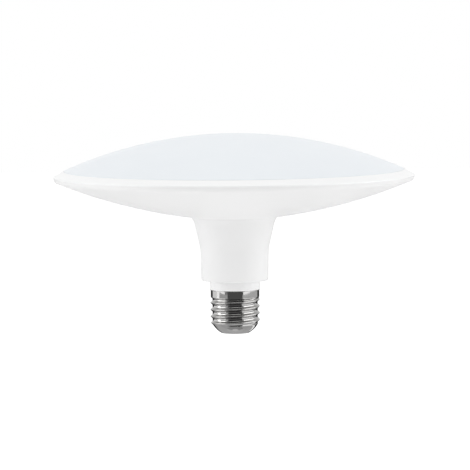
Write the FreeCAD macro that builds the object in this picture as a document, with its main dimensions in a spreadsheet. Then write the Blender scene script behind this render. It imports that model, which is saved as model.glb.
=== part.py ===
import FreeCAD, Part
import math
import os
from enum import IntEnum

import Sketcher

# A disc-shaped LED lamp with an E27 screw cap, standing on its cap.
# The origin is the centre of the contact's flat; +Z runs from the cap to the diffuser.

# Driving dimensions in millimetres: alias, value, meaning
DIMENSIONS = (
    ("contact_step", "0.5", "contact's flat below the shell's lip"),
    ("contact_dome", "2", "rounded edge of the contact's head beyond its flat"),
    ("contact_inset", "1.7", "contact's head inside the shell's mouth"),
    ("contact_head", "0.6", "height of the contact's head"),
    ("rivet_radius", "1.5", "shank of the contact"),
    ("rivet_length", "3.4", "shank above the head"),
    ("cap_height", "23.3", "shell from its lip to its top edge"),
    ("shell_wall", "0.3", "sheet of the shell"),
    ("lip_width", "1.2", "flat part of the shell's lip"),
    ("lip_round", "2.0", "bend between the lip and the cone"),
    ("cone_height", "4.65", "cone below the thread"),
    ("cone_reach", "4.65", "cone below the thread"),
    ("root_radius", "12.05", "thread at its root"),
    ("thread_depth", "1.1", "root to crest"),
    ("thread_pitch", "3.629", "one turn of the thread, seven to the inch"),
    ("ridge_width", "2.7", "thread ridge at its root"),
    ("crest_width", "0.9", "thread ridge at its crest"),
    ("thread_start", "0.3", "start of the crest below the top of the cone"),
    ("thread_end", "0.85", "end of the crest below the band"),
    ("band_reach", "0.9", "plain band beyond the thread's root"),
    ("band_height", "4.1", "plain band with its edge"),
    ("band_step", "0.9", "cone between the thread and the band"),
    ("edge_reach", "0.3", "turned edge beyond the band"),
    ("edge_height", "0.35", "turned edge at the top of the shell"),
    ("insulator_height", "2.0", "insulating disc above the contact"),
    ("seat_gap", "0.1", "play between parts that fit together"),
    ("spigot_wall", "1.5", "plastic spigot inside the shell"),
    ("spigot_end", "2.3", "end of the spigot above the cone"),
    ("collar_reach", "0.5", "collar beyond the cap's band"),
    ("collar_height", "4.8", "collar between the cap and the neck"),
    ("neck_ledge", "4.45", "neck's lower end beyond the collar"),
    ("neck_wall", "1.6", "wall of the neck"),
    ("neck_bevel", "0.5", "lower edge of the neck"),
    ("neck_draft", "0.3", "widening of the neck up to the flare"),
    ("neck_straight", "16.7", "neck up to the start of its flare"),
    ("flare_height", "14.9", "flare of the neck"),
    ("flare_reach", "3.4", "flare of the neck"),
    ("flare_blend", "25", "bend from the neck into the flare"),
    ("flare_round", "11", "bend at the top of the flare"),
    ("crease_height", "2.4", "last turn of the flare below the bowl"),
    ("crease_reach", "1.6", "last turn of the flare below the bowl"),
    ("bowl_rise", "19.6", "bowl from the neck to the rim"),
    ("bowl_radius", "272", "arc of the bowl's section"),
    ("bowl_wall", "1.6", "wall of the bowl"),
    ("rim_radius", "96", "largest radius"),
    ("rim_height", "1.9", "upright edge of the housing"),
    ("rim_bevel", "0.3", "lower edge of the rim"),
    ("rim_width", "7.8", "seat inside the rim"),
    ("parting_bevel", "0.2", "edges of the parting line below the front ring"),
    ("ring_height", "3.5", "front ring above its seat"),
    ("ring_edge", "0.8", "upright edge of the front ring"),
    ("ring_bevel", "0.3", "upper outer edge of the front ring"),
    ("ring_width", "5.6", "front ring from its opening to the rim"),
    ("tongue_width", "1.2", "tongue under the front ring"),
    ("tongue_depth", "1.15", "tongue below the ring's seat"),
    ("tongue_inset", "1.4", "tongue inside the rim"),
    ("dome_rise", "19.1", "diffuser above its edge"),
    ("dome_wall", "1.4", "wall of the diffuser"),
    ("flange_height", "1.3", "flange of the diffuser"),
    ("flange_width", "2.3", "flange beyond the dome"),
    ("board_inset", "24", "edge of the LED board inside the rim"),
    ("board_thick", "1", "LED board"),
    ("board_bore", "5", "hole for the wires in the LED board"),
    ("plate_thick", "0.8", "sheet of the heat spreader"),
    ("plate_wall", "2.6", "upright edge of the heat spreader above its floor"),
    ("plate_bore", "7", "hole for the wires in the heat spreader"),
    ("screw_radius", "1.45", "shank of a board screw"),
    ("screw_head", "2.8", "head of a board screw"),
    ("screw_head_height", "1.8", "head of a board screw"),
    ("screw_length", "8", "shank below the head"),
    ("screw_play", "0.2", "holes around a screw's shank"),
    ("boss_radius", "3.4", "screw boss in the bowl"),
    ("boss_floor", "1", "boss below the end of its screw"),
    ("led_length", "3.5", "LED package"),
    ("led_width", "2.8", "LED package"),
    ("led_height", "0.75", "LED package"),
    ("led_circle_inner", "22", "inner ring of LEDs"),
    ("led_margin", "6", "outer ring of LEDs inside the board's edge"),
    ("socket_length", "14", "wire socket over the LED board's hole"),
    ("socket_width", "7", "wire socket on the LED board"),
    ("socket_height", "4", "wire socket on the LED board"),
    ("driver_thick", "1.6", "driver board"),
    ("driver_play", "2", "driver board inside the neck"),
    ("driver_height", "31", "driver board above the neck's floor"),
    ("tab_play", "1.75", "driver board's tab inside the spigot"),
    ("tab_length", "17.5", "driver board's tab below the neck's floor"),
    ("guide_height", "12", "guide ribs for the driver board"),
    ("guide_thick", "1.4", "guide ribs for the driver board"),
    ("guide_reach", "1.2", "guide ribs over the driver board"),
    ("wire_radius", "0.7", "insulated wire"),
    ("wire_lap", "4", "wire along the driver board"),
    ("output_place", "1.5", "output wires from the axis"),
    ("neutral_place", "3", "neutral wire from the axis"),
    ("neutral_foot", "3", "foot of the neutral wire above the shell's lip"),
    ("neutral_gap", "0.3", "foot of the neutral wire from the shell's cone"),
    ("mains_radius", "5", "mains capacitor"),
    ("mains_length", "16", "mains capacitor"),
    ("output_radius", "4", "output capacitor"),
    ("output_length", "11", "output capacitor"),
    ("capacitor_place", "6.5", "capacitors from the axis"),
    ("capacitor_gap", "2", "between the two capacitors"),
    ("core_width", "10", "ferrite core of the transformer"),
    ("core_height", "10", "ferrite core of the transformer"),
    ("core_thick", "4.5", "ferrite core of the transformer"),
    ("core_yoke", "1.6", "outer legs and yokes of the core"),
    ("core_leg", "2.8", "middle leg of the core"),
    ("coil_wall", "1.8", "winding round the middle leg"),
    ("upper_place", "21", "transformer above the neck's floor"),
    ("side_place", "6.7", "transformer from the axis"),
    ("film_length", "9", "film capacitor"),
    ("film_width", "5", "film capacitor"),
    ("film_height", "10", "film capacitor"),
    ("bridge_length", "6.4", "bridge rectifier"),
    ("bridge_width", "4.6", "bridge rectifier"),
    ("bridge_thick", "2.4", "bridge rectifier"),
    ("chip_length", "4.9", "driver chip"),
    ("chip_width", "3.9", "driver chip"),
    ("chip_thick", "1.5", "driver chip"),
    ("chip_gap", "4.05", "driver chip below the end of the output wires"),
    ("diode_length", "4.3", "output diode"),
    ("diode_width", "2.6", "output diode"),
    ("diode_thick", "2.1", "output diode"),
    ("fuse_radius", "1.6", "fusible resistor"),
    ("fuse_length", "9", "fusible resistor"),
    ("varistor_radius", "3.6", "varistor"),
    ("varistor_thick", "3.4", "varistor"),
)

LED_COUNT_INNER = 12
LED_COUNT_MIDDLE = 18
LED_COUNT_OUTER = 24
SCREW_COUNT = 2

# Tangent of half the cone's 45 degrees: where the inner bend of the sheet lies
BEND_SHARE = math.tan(math.radians(22.5))

# Least volume in cubic millimetres that a cut takes away
LEAST_CUT = 0.01

doc = FreeCAD.newDocument("DiscLamp")
sheet = doc.addObject("Spreadsheet::Sheet", "Sizes")
for row, (alias, value, meaning) in enumerate(DIMENSIONS, start=1):
    sheet.set(f"A{row}", alias)
    sheet.set(f"B{row}", value)
    sheet.setAlias(f"B{row}", alias)
    sheet.set(f"C{row}", meaning)
doc.recompute()


class Size:
    """A number together with the sheet expression that gives it."""

    def __init__(self, number, text):
        self.number = number
        self.text = text

    def __add__(self, other):
        other = as_size(other)
        return Size(self.number + other.number, f"({self.text} + {other.text})")

    def __sub__(self, other):
        other = as_size(other)
        return Size(self.number - other.number, f"({self.text} - {other.text})")

    def __mul__(self, other):
        other = as_size(other)
        return Size(self.number * other.number, f"({self.text} * {other.text})")

    def __truediv__(self, other):
        other = as_size(other)
        return Size(self.number / other.number, f"({self.text} / {other.text})")

    def __neg__(self):
        return Size(-self.number, f"(0 - {self.text})")


def as_size(value):
    return value if isinstance(value, Size) else Size(float(value), f"{value:.6f}")


def root_of(value):
    return Size(math.sqrt(value.number), f"sqrt({value.text})")


class Sizes:
    """The sheet's cells, each as a Size under its alias."""

    def __init__(self, cells):
        for alias, _, _ in DIMENSIONS:
            setattr(self, alias, Size(float(getattr(cells, alias)), f"Sizes.{alias}"))


class Corner:
    """A corner of an outline, with the arc that leaves it and the radius that rounds it."""

    def __init__(self, across, up, rounding=None, arc=None, left=True):
        self.across = as_size(across)
        self.up = as_size(up)
        self.rounding = rounding
        self.arc = arc
        self.left = left

    def place(self):
        return FreeCAD.Vector(self.across.number, self.up.number, 0)


class Axis(IntEnum):
    """A sketch's own axes."""

    ACROSS = -1
    UP = -2


class Spot(IntEnum):
    """Positions on a sketch's line, arc or circle."""

    START = 1
    END = 2
    CENTRE = 3


s = Sizes(sheet)
ZERO = as_size(0)


def bind(owner, path, size):
    owner.setExpression(path, size.text)


def add_body(name):
    body = doc.addObject("PartDesign::Body", name)
    body.Label = name
    return body


def origin_plane(body, role):
    return [feature for feature in body.Origin.OriginFeatures if feature.Role == role][0]


def add_sketch(body, name, plane="XZ_Plane", offset=None):
    """A sketch on one of the body's own planes, raised along the plane's normal by offset."""
    sketch = body.newObject("Sketcher::SketchObject", name)
    sketch.AttachmentSupport = (origin_plane(body, plane), [""])
    sketch.MapMode = "FlatFace"
    if offset is not None:
        sketch.AttachmentOffset = FreeCAD.Placement(
            FreeCAD.Vector(0, 0, offset.number), FreeCAD.Rotation()
        )
        bind(sketch, "AttachmentOffset.Base.z", offset)
    return sketch


def constrain(sketch, kind, *where, size=None):
    if size is None:
        return sketch.addConstraint(Sketcher.Constraint(kind, *where))
    index = sketch.addConstraint(Sketcher.Constraint(kind, *where, size.number))
    name = f"{kind}_{index}"
    sketch.renameConstraint(index, name)
    bind(sketch, f"Constraints.{name}", size)
    return index


def hold_point(sketch, geometry, position, across, up):
    """Ties a point of the sketch to its place, or to an axis where the place is zero."""
    for kind, size, axis in (("DistanceX", across, Axis.UP), ("DistanceY", up, Axis.ACROSS)):
        if size.number == 0:
            constrain(sketch, "PointOnObject", geometry, position, axis)
        else:
            constrain(sketch, kind, Axis.ACROSS, Spot.START, geometry, position, size=size)


def arc_centre(start, end, radius, left):
    """The centre of the arc from start to end that lies on the left or right of the way."""
    way = end - start
    middle = (start + end) * 0.5
    reach = math.sqrt(radius**2 - (way.Length / 2) ** 2)
    normal = FreeCAD.Vector(-way.y, way.x, 0).normalize()
    return middle + normal * (reach if left else -reach)


def arc_between(start, end, radius, left):
    """An arc from start to end, with the sketch positions of its start and its end."""
    centre = arc_centre(start, end, radius, left)
    first, last = (start, end) if left else (end, start)
    angles = [math.atan2(p.y - centre.y, p.x - centre.x) for p in (first, last)]
    circle = Part.Circle(centre, FreeCAD.Vector(0, 0, 1), radius)
    arc = Part.ArcOfCircle(circle, angles[0], angles[1])
    return arc, (Spot.START, Spot.END) if left else (Spot.END, Spot.START)


def leaving_direction(corner, following):
    """The direction in which the outline leaves a corner."""
    if corner.arc is None:
        return (following.place() - corner.place()).normalize()
    centre = arc_centre(corner.place(), following.place(), corner.arc.number, corner.left)
    spoke = corner.place() - centre
    turned = FreeCAD.Vector(-spoke.y, spoke.x, 0).normalize()
    return turned if corner.left else -turned


def arriving_direction(corner, following):
    """The direction in which the outline arrives at the corner that follows."""
    if corner.arc is None:
        return (following.place() - corner.place()).normalize()
    centre = arc_centre(corner.place(), following.place(), corner.arc.number, corner.left)
    spoke = following.place() - centre
    turned = FreeCAD.Vector(-spoke.y, spoke.x, 0).normalize()
    return turned if corner.left else -turned


def draw_outline(sketch, corners):
    """Draws lines and arcs through the corners, rounds them and ties them to the sheet."""
    count = len(corners)
    starts = [corner.place() for corner in corners]
    ends = [corners[(i + 1) % count].place() for i in range(count)]
    turns = {}
    for i, corner in enumerate(corners):
        if corner.rounding is None:
            continue
        before = arriving_direction(corners[i - 1], corner)
        after = leaving_direction(corner, corners[(i + 1) % count])
        turn = math.acos(max(-1.0, min(1.0, before * after)))
        trim = corner.rounding.number * math.tan(turn / 2)
        starts[i] = corner.place() + after * trim
        ends[i - 1] = corner.place() - before * trim
        turns[i] = (before.cross(after)).z > 0

    segments = []
    for i, corner in enumerate(corners):
        if corner.arc is None:
            geometry, positions = Part.LineSegment(starts[i], ends[i]), (Spot.START, Spot.END)
        else:
            geometry, positions = arc_between(starts[i], ends[i], corner.arc.number, corner.left)
        segments.append((sketch.addGeometry(geometry), positions))
        if corner.arc is not None:
            constrain(sketch, "Radius", segments[-1][0], size=corner.arc)

    for i, corner in enumerate(corners):
        geometry, positions = segments[i]
        if i in turns:
            round_corner(sketch, corner, segments[i - 1], segments[i], turns[i])
            continue
        hold_point(sketch, geometry, positions[0], corner.across, corner.up)
        previous, places = segments[i - 1]
        constrain(sketch, "Coincident", previous, places[1], geometry, positions[0])


def round_corner(sketch, corner, arriving, leaving, left):
    """An arc tangent to both sides of a corner, whose point stays as construction."""
    radius = corner.rounding
    ends = [
        sketch.getPoint(arriving[0], arriving[1][1]),
        sketch.getPoint(leaving[0], leaving[1][0]),
    ]
    arc, positions = arc_between(ends[0], ends[1], radius.number, left)
    fillet = sketch.addGeometry(arc)
    point = sketch.addGeometry(Part.Point(corner.place()), True)
    hold_point(sketch, point, Spot.START, corner.across, corner.up)
    for geometry in (arriving[0], leaving[0]):
        constrain(sketch, "PointOnObject", point, Spot.START, geometry)
    constrain(sketch, "Tangent", arriving[0], arriving[1][1], fillet, positions[0])
    constrain(sketch, "Tangent", fillet, positions[1], leaving[0], leaving[1][0])
    constrain(sketch, "Radius", fillet, size=radius)


def draw_circle(sketch, across, up, radius):
    centre = FreeCAD.Vector(across.number, up.number, 0)
    circle = sketch.addGeometry(
        Part.Circle(centre, FreeCAD.Vector(0, 0, 1), radius.number)
    )
    hold_point(sketch, circle, Spot.CENTRE, across, up)
    constrain(sketch, "Radius", circle, size=radius)


def draw_box(sketch, left, right, low, high):
    draw_outline(
        sketch,
        [Corner(left, low), Corner(right, low), Corner(right, high), Corner(left, high)],
    )


def turn(body, corners, name="Turned", cut=False):
    """Turns an outline in the XZ plane once round the Z axis."""
    sketch = add_sketch(body, f"{name}Section")
    draw_outline(sketch, corners)
    kind = "PartDesign::Groove" if cut else "PartDesign::Revolution"
    feature = body.newObject(kind, name)
    feature.Profile = sketch
    feature.ReferenceAxis = (sketch, ["V_Axis"])
    feature.Angle = 360
    return feature


def pad(body, sketch, length, name="Pad", backwards=False, centred=False):
    feature = body.newObject("PartDesign::Pad", name)
    feature.Profile = sketch
    feature.Reversed = backwards
    feature.Midplane = centred
    bind(feature, "Length", length)
    return feature


def pocket(body, sketch, depth, name="Pocket", upwards=False):
    feature = body.newObject("PartDesign::Pocket", name)
    feature.Profile = sketch
    feature.Reversed = upwards
    bind(feature, "Length", depth)
    return feature


def repeat_round(body, features, count, name="Ring"):
    pattern = body.newObject("PartDesign::PolarPattern", name)
    pattern.Originals = features
    pattern.Axis = (origin_plane(body, "Z_Axis"), [""])
    pattern.Angle = 360
    pattern.Occurrences = count
    body.Tip = pattern
    return pattern


def place(body, across, deep, up, turn_about=None, angle=0):
    """Moves a body that was drawn about its own origin to its place in the lamp."""
    rotation = FreeCAD.Rotation(turn_about or FreeCAD.Vector(0, 0, 1), angle)
    spot = FreeCAD.Vector(across.number, deep.number, up.number)
    body.Placement = FreeCAD.Placement(spot, rotation)
    for letter, size in (("x", across), ("y", deep), ("z", up)):
        bind(body, f"Placement.Base.{letter}", size)


# Levels and radii that several parts share

lip_level = s.contact_step
lip_radius = s.root_radius - s.cone_reach
mouth_radius = lip_radius - s.lip_width
contact_radius = mouth_radius - s.contact_inset
cone_top = lip_level + s.cone_height
cone_slope = s.cone_height / s.cone_reach
cap_top = lip_level + s.cap_height
band_bottom = cap_top - s.band_height
band_radius = s.root_radius + s.band_reach
crest_radius = s.root_radius + s.thread_depth
sheet_shift = s.shell_wall * BEND_SHARE
shell_bore = s.root_radius - s.shell_wall
band_bore = band_radius - s.shell_wall

spigot_bottom = cone_top + s.spigot_end
spigot_radius = shell_bore - s.seat_gap
spigot_bore = spigot_radius - s.spigot_wall
collar_radius = band_radius + s.collar_reach
neck_radius = collar_radius + s.neck_ledge
neck_bottom = cap_top + s.collar_height
neck_floor = neck_bottom + s.neck_wall
flare_foot = neck_radius + s.neck_draft
flare_level = neck_bottom + s.neck_straight
flare_radius = flare_foot + s.flare_reach
flare_top = flare_level + s.flare_height
crease_radius = flare_radius + s.crease_reach
crease_level = flare_top + s.crease_height
rim_bottom = crease_level + s.bowl_rise
rim_seat = rim_bottom + s.rim_height

tongue_outer = s.rim_radius - s.tongue_inset
tongue_inner = tongue_outer - s.tongue_width
flange_top = rim_seat + s.flange_height
ring_bore = s.rim_radius - s.ring_width
dome_radius = ring_bore - s.seat_gap
dome_bore = dome_radius - s.dome_wall
dome_edge = rim_seat + s.ring_height + s.seat_gap
rim_bore = s.rim_radius - s.rim_width

board_radius = s.rim_radius - s.board_inset
led_circle_outer = board_radius - s.led_margin
led_circle_middle = (s.led_circle_inner + led_circle_outer) / 2
screw_circle = (s.led_circle_inner + led_circle_middle) / 2

driver_face = s.driver_thick / 2
driver_side = neck_radius - s.neck_wall - s.driver_play
driver_top = neck_floor + s.driver_height
tab_side = spigot_bore - s.tab_play
tab_bottom = neck_floor - s.tab_length
upper_level = neck_floor + s.upper_place
chip_level = driver_top - s.wire_lap - s.chip_gap - s.chip_width / 2

# The bowl's section is an arc from the crease to the rim; its centre lies above it
bowl_run = s.rim_radius - s.rim_bevel - crease_radius
bowl_chord = root_of(bowl_run * bowl_run + s.bowl_rise * s.bowl_rise)
bowl_reach = root_of(s.bowl_radius * s.bowl_radius - bowl_chord * bowl_chord / 4)
bowl_centre_across = (
    crease_radius + bowl_run / 2 - bowl_reach * s.bowl_rise / bowl_chord
)
bowl_centre_up = crease_level + s.bowl_rise / 2 + bowl_reach * bowl_run / bowl_chord
bowl_inner_radius = s.bowl_radius - s.bowl_wall


def bowl_inside(across):
    """Level of the bowl's inner face at a distance from the axis."""
    run = across - bowl_centre_across
    return bowl_centre_up - root_of(bowl_inner_radius * bowl_inner_radius - run * run)


plate_radius = board_radius + s.seat_gap + s.plate_thick
plate_bottom = bowl_inside(plate_radius) + s.seat_gap
plate_top = plate_bottom + s.plate_thick
board_top = plate_top + s.board_thick


def make_cap_shell():
    """Thin metal shell: lip, cone, screw thread and plain band, rolled from one sheet."""
    body = add_body("cap_shell")
    edge_radius = band_radius + s.edge_reach
    turn(
        body,
        [
            Corner(mouth_radius, lip_level),
            Corner(lip_radius, lip_level, s.lip_round),
            Corner(s.root_radius, cone_top),
            Corner(s.root_radius, band_bottom - s.band_step),
            Corner(band_radius, band_bottom),
            Corner(band_radius, cap_top - s.edge_height),
            Corner(edge_radius, cap_top - s.edge_height),
            Corner(edge_radius, cap_top),
            Corner(band_bore, cap_top),
            Corner(band_bore, band_bottom + sheet_shift),
            Corner(shell_bore, band_bottom - s.band_step + sheet_shift),
            Corner(shell_bore, cone_top + sheet_shift),
            Corner(lip_radius - sheet_shift, lip_level + s.shell_wall),
            Corner(mouth_radius, lip_level + s.shell_wall),
        ],
        "Drawn",
    )

    # the thread starts and ends at the back of the lamp
    ridge = add_sketch(body, "RidgeSection", "YZ_Plane")
    start = cone_top - s.thread_start
    base = s.root_radius - s.shell_wall / 2
    draw_outline(
        ridge,
        [
            Corner(base, start - s.ridge_width / 2),
            Corner(crest_radius, start - s.crest_width / 2),
            Corner(crest_radius, start + s.crest_width / 2),
            Corner(base, start + s.ridge_width / 2),
        ],
    )
    thread = body.newObject("PartDesign::AdditiveHelix", "Thread")
    thread.Profile = ridge
    thread.ReferenceAxis = (ridge, ["V_Axis"])
    thread.Mode = "pitch-height-angle"
    thread.LeftHanded = False
    bind(thread, "Pitch", s.thread_pitch)
    bind(thread, "Height", band_bottom - s.thread_end - start)

    # the first turn runs out into the cone, and the last one stays out of the band's bore
    past = s.thread_depth * 2
    turn(
        body,
        [
            Corner(lip_radius, lip_level),
            Corner(s.root_radius + past, lip_level),
            Corner(s.root_radius + past, cone_top + past * cone_slope),
        ],
        "RunOut",
        cut=True,
    )
    turn(
        body,
        [
            Corner(shell_bore, band_bottom - s.band_step + sheet_shift),
            Corner(band_bore, band_bottom + sheet_shift),
            Corner(band_bore, cap_top),
            Corner(shell_bore, cap_top),
        ],
        "BandBore",
        cut=True,
    )
    return body


def make_cap_insulator():
    """Insulating disc in the mouth of the shell, resting on the lip."""
    body = add_body("cap_insulator")
    head_top = s.contact_head
    seat = lip_level + s.shell_wall
    top = head_top + s.insulator_height
    edge = lip_radius - sheet_shift - s.seat_gap
    turn(
        body,
        [
            Corner(s.rivet_radius + s.seat_gap, head_top),
            Corner(mouth_radius - s.seat_gap, head_top),
            Corner(mouth_radius - s.seat_gap, seat),
            Corner(edge, seat),
            Corner(edge + (top - seat) / cone_slope, top),
            Corner(s.rivet_radius + s.seat_gap, top),
        ],
    )
    return body


def make_centre_contact():
    """Riveted contact: a low domed head with a flat, and a shank through the insulator."""
    body = add_body("centre_contact")
    head_top = s.contact_head
    shank_top = head_top + s.rivet_length
    turn(
        body,
        [
            Corner(0, 0),
            Corner(contact_radius - s.contact_dome, 0),
            Corner(contact_radius, head_top),
            Corner(s.rivet_radius, head_top),
            Corner(s.rivet_radius, shank_top),
            Corner(0, shank_top),
        ],
    )
    return body


def make_housing():
    """One moulding: spigot, collar, flared neck, bowl and rim."""
    body = add_body("housing")
    throat = crease_radius - s.neck_wall
    groove_bottom = rim_seat - s.tongue_depth - s.seat_gap
    turn(
        body,
        [
            Corner(spigot_radius, spigot_bottom),
            Corner(spigot_radius, band_bottom + s.shell_wall),
            Corner(band_bore - s.seat_gap, band_bottom + s.shell_wall),
            Corner(band_bore - s.seat_gap, cap_top),
            Corner(collar_radius, cap_top),
            Corner(collar_radius, neck_bottom),
            Corner(neck_radius - s.neck_bevel, neck_bottom),
            Corner(neck_radius, neck_bottom + s.neck_bevel),
            Corner(flare_foot, flare_level, s.flare_blend),
            Corner(flare_radius, flare_top, s.flare_round),
            Corner(crease_radius, crease_level, arc=s.bowl_radius, left=True),
            Corner(s.rim_radius - s.rim_bevel, rim_bottom),
            Corner(s.rim_radius, rim_bottom + s.rim_bevel),
            Corner(s.rim_radius, rim_seat - s.parting_bevel),
            Corner(s.rim_radius - s.parting_bevel, rim_seat),
            Corner(tongue_outer + s.seat_gap, rim_seat),
            Corner(tongue_outer + s.seat_gap, groove_bottom),
            Corner(tongue_inner - s.seat_gap, groove_bottom),
            Corner(tongue_inner - s.seat_gap, rim_seat),
            Corner(rim_bore, rim_seat),
            Corner(rim_bore, bowl_inside(rim_bore), arc=bowl_inner_radius, left=False),
            Corner(throat, bowl_inside(throat)),
            Corner(flare_radius - s.neck_wall, flare_top),
            Corner(flare_foot - s.neck_wall, flare_level),
            Corner(neck_radius - s.neck_wall, neck_floor),
            Corner(spigot_bore, neck_floor),
            Corner(spigot_bore, spigot_bottom),
        ],
        "Moulding",
    )

    boss_sketch = add_sketch(body, "BossSection", "XY_Plane", plate_bottom)
    draw_circle(boss_sketch, screw_circle, ZERO, s.boss_radius)
    boss = body.newObject("PartDesign::Pad", "Boss")
    boss.Profile = boss_sketch
    boss.Reversed = True
    boss.Type = "UpToFirst"
    hole_sketch = add_sketch(body, "BossHoleSection", "XY_Plane", plate_bottom)
    draw_circle(hole_sketch, screw_circle, ZERO, s.screw_radius + s.seat_gap / 2)
    hole_depth = s.screw_length - s.board_thick - s.plate_thick + s.boss_floor
    hole = pocket(body, hole_sketch, hole_depth, "BossHole")
    repeat_round(body, [boss, hole], SCREW_COUNT, "Bosses")

    guide_sketch = add_sketch(body, "GuideSection", "XY_Plane", neck_floor)
    near = driver_side - s.guide_reach
    far = neck_radius - s.neck_wall / 2
    low = driver_face + s.seat_gap
    draw_box(guide_sketch, near, far, low, low + s.guide_thick)
    draw_box(guide_sketch, near, far, -(low + s.guide_thick), -low)
    guide = pad(body, guide_sketch, s.guide_height, "Guide")
    repeat_round(body, [guide], 2, "Guides")
    return body


def make_front_ring():
    """Ring that holds the diffuser down on the rim; its tongue sits in the rim's groove."""
    body = add_body("front_ring")
    turn(
        body,
        [
            Corner(ring_bore, rim_seat + s.ring_height),
            Corner(s.rim_radius - s.ring_bevel, rim_seat + s.ring_edge),
            Corner(s.rim_radius, rim_seat + s.ring_edge - s.ring_bevel),
            Corner(s.rim_radius, rim_seat + s.parting_bevel),
            Corner(s.rim_radius - s.parting_bevel, rim_seat),
            Corner(tongue_outer, rim_seat),
            Corner(tongue_outer, rim_seat - s.tongue_depth),
            Corner(tongue_inner, rim_seat - s.tongue_depth),
            Corner(tongue_inner, flange_top + s.seat_gap),
            Corner(ring_bore, flange_top + s.seat_gap),
        ],
    )
    return body


def make_diffuser():
    """Opal dome with an upright edge and the flange that rests on the rim."""
    body = add_body("diffuser")
    sphere = (dome_radius * dome_radius + s.dome_rise * s.dome_rise) / (s.dome_rise * 2)
    inner_sphere = sphere - s.dome_wall
    apex = dome_edge + s.dome_rise
    inner_edge = apex - sphere + root_of(inner_sphere * inner_sphere - dome_bore * dome_bore)
    turn(
        body,
        [
            Corner(0, apex, arc=sphere, left=False),
            Corner(dome_radius, dome_edge),
            Corner(dome_radius, flange_top),
            Corner(dome_radius + s.flange_width, flange_top),
            Corner(dome_radius + s.flange_width, rim_seat),
            Corner(dome_bore, rim_seat),
            Corner(dome_bore, inner_edge, arc=inner_sphere, left=True),
            Corner(0, apex - s.dome_wall),
        ],
    )
    return body


def make_heat_spreader():
    """Aluminium tray under the LED board, on the screw bosses."""
    body = add_body("heat_spreader")
    bore = plate_radius - s.plate_thick
    top = plate_top + s.plate_wall
    turn(
        body,
        [
            Corner(s.plate_bore, plate_bottom),
            Corner(plate_radius, plate_bottom),
            Corner(plate_radius, top),
            Corner(bore, top),
            Corner(bore, plate_top),
            Corner(s.plate_bore, plate_top),
        ],
    )
    drill_screw_holes(body, plate_top, s.plate_thick)
    return body


def drill_screw_holes(body, top, depth):
    sketch = add_sketch(body, "ScrewHoleSection", "XY_Plane", top)
    draw_circle(sketch, screw_circle, ZERO, s.screw_radius + s.screw_play)
    hole = pocket(body, sketch, depth, "ScrewHole")
    repeat_round(body, [hole], SCREW_COUNT, "ScrewHoles")


def make_led_board():
    """Round aluminium-core board in the tray."""
    body = add_body("led_board")
    sketch = add_sketch(body, "DiscSection", "XY_Plane", plate_top)
    draw_circle(sketch, ZERO, ZERO, board_radius)
    draw_circle(sketch, ZERO, ZERO, s.board_bore)
    pad(body, sketch, s.board_thick, "Disc")
    drill_screw_holes(body, board_top, s.board_thick)
    return body


def make_led_ring(name, circle, count):
    """One circle of LED packages on the board."""
    body = add_body(name)
    sketch = add_sketch(body, "PackageSection", "XY_Plane", board_top)
    half_length, half_width = s.led_length / 2, s.led_width / 2
    draw_box(sketch, circle - half_width, circle + half_width, -half_length, half_length)
    package = pad(body, sketch, s.led_height, "Package")
    repeat_round(body, [package], count, "Packages")
    return body


def make_board_screws():
    """Screws through the LED board and the tray into the bosses."""
    body = add_body("board_screws")
    head_sketch = add_sketch(body, "HeadSection", "XY_Plane", board_top)
    draw_circle(head_sketch, screw_circle, ZERO, s.screw_head)
    head = pad(body, head_sketch, s.screw_head_height, "Head")
    shank_sketch = add_sketch(body, "ShankSection", "XY_Plane", board_top)
    draw_circle(shank_sketch, screw_circle, ZERO, s.screw_radius)
    shank = pad(body, shank_sketch, s.screw_length, "Shank", backwards=True)
    repeat_round(body, [head, shank], SCREW_COUNT, "Screws")
    return body


def make_wire_socket():
    """Socket over the hole of the LED board that takes the two output wires."""
    body = add_body("wire_socket")
    sketch = add_sketch(body, "SocketSection", "XY_Plane", board_top)
    half_length, half_width = s.socket_length / 2, s.socket_width / 2
    draw_box(sketch, -half_length, half_length, -half_width, half_width)
    pad(body, sketch, s.socket_height, "Socket")
    return body


def make_output_wire(name, side):
    """Wire up from a face of the driver board through the holes into the socket."""
    body = add_body(name)
    deep = (driver_face + s.seat_gap + s.wire_radius) * side
    level = driver_top - s.wire_lap
    sketch = add_sketch(body, "WireSection", "XY_Plane", level)
    draw_circle(sketch, -s.output_place, deep, s.wire_radius)
    pad(body, sketch, board_top - level, "Wire")
    return body


def make_live_wire():
    """Wire from the driver board's tab down to the centre contact."""
    body = add_body("live_wire")
    contact_top = s.contact_head + s.rivet_length
    sketch = add_sketch(body, "WireSection", "XY_Plane", contact_top)
    draw_circle(sketch, ZERO, ZERO, s.wire_radius)
    pad(body, sketch, tab_bottom - contact_top, "Wire")
    return body


def make_neutral_wire():
    """Wire that slopes from the driver board's tab down to the shell's cone."""
    body = add_body("neutral_wire")
    foot = lip_level + s.neutral_foot
    cone_bore = lip_radius - sheet_shift + (s.neutral_foot - s.shell_wall) / cone_slope
    reach = cone_bore - s.neutral_gap
    run = reach - s.neutral_place
    rise = tab_bottom - s.wire_radius - foot
    tilt = math.degrees(math.atan2(run.number, rise.number))
    sketch = add_sketch(body, "WireSection", "XY_Plane")
    draw_circle(sketch, ZERO, ZERO, s.wire_radius)
    pad(body, sketch, root_of(run * run + rise * rise), "Wire")
    place(body, -reach, ZERO, foot, FreeCAD.Vector(0, 1, 0), tilt)
    body.setExpression("Placement.Rotation.Angle", f"atan({run.text} / {rise.text})")
    return body


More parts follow.
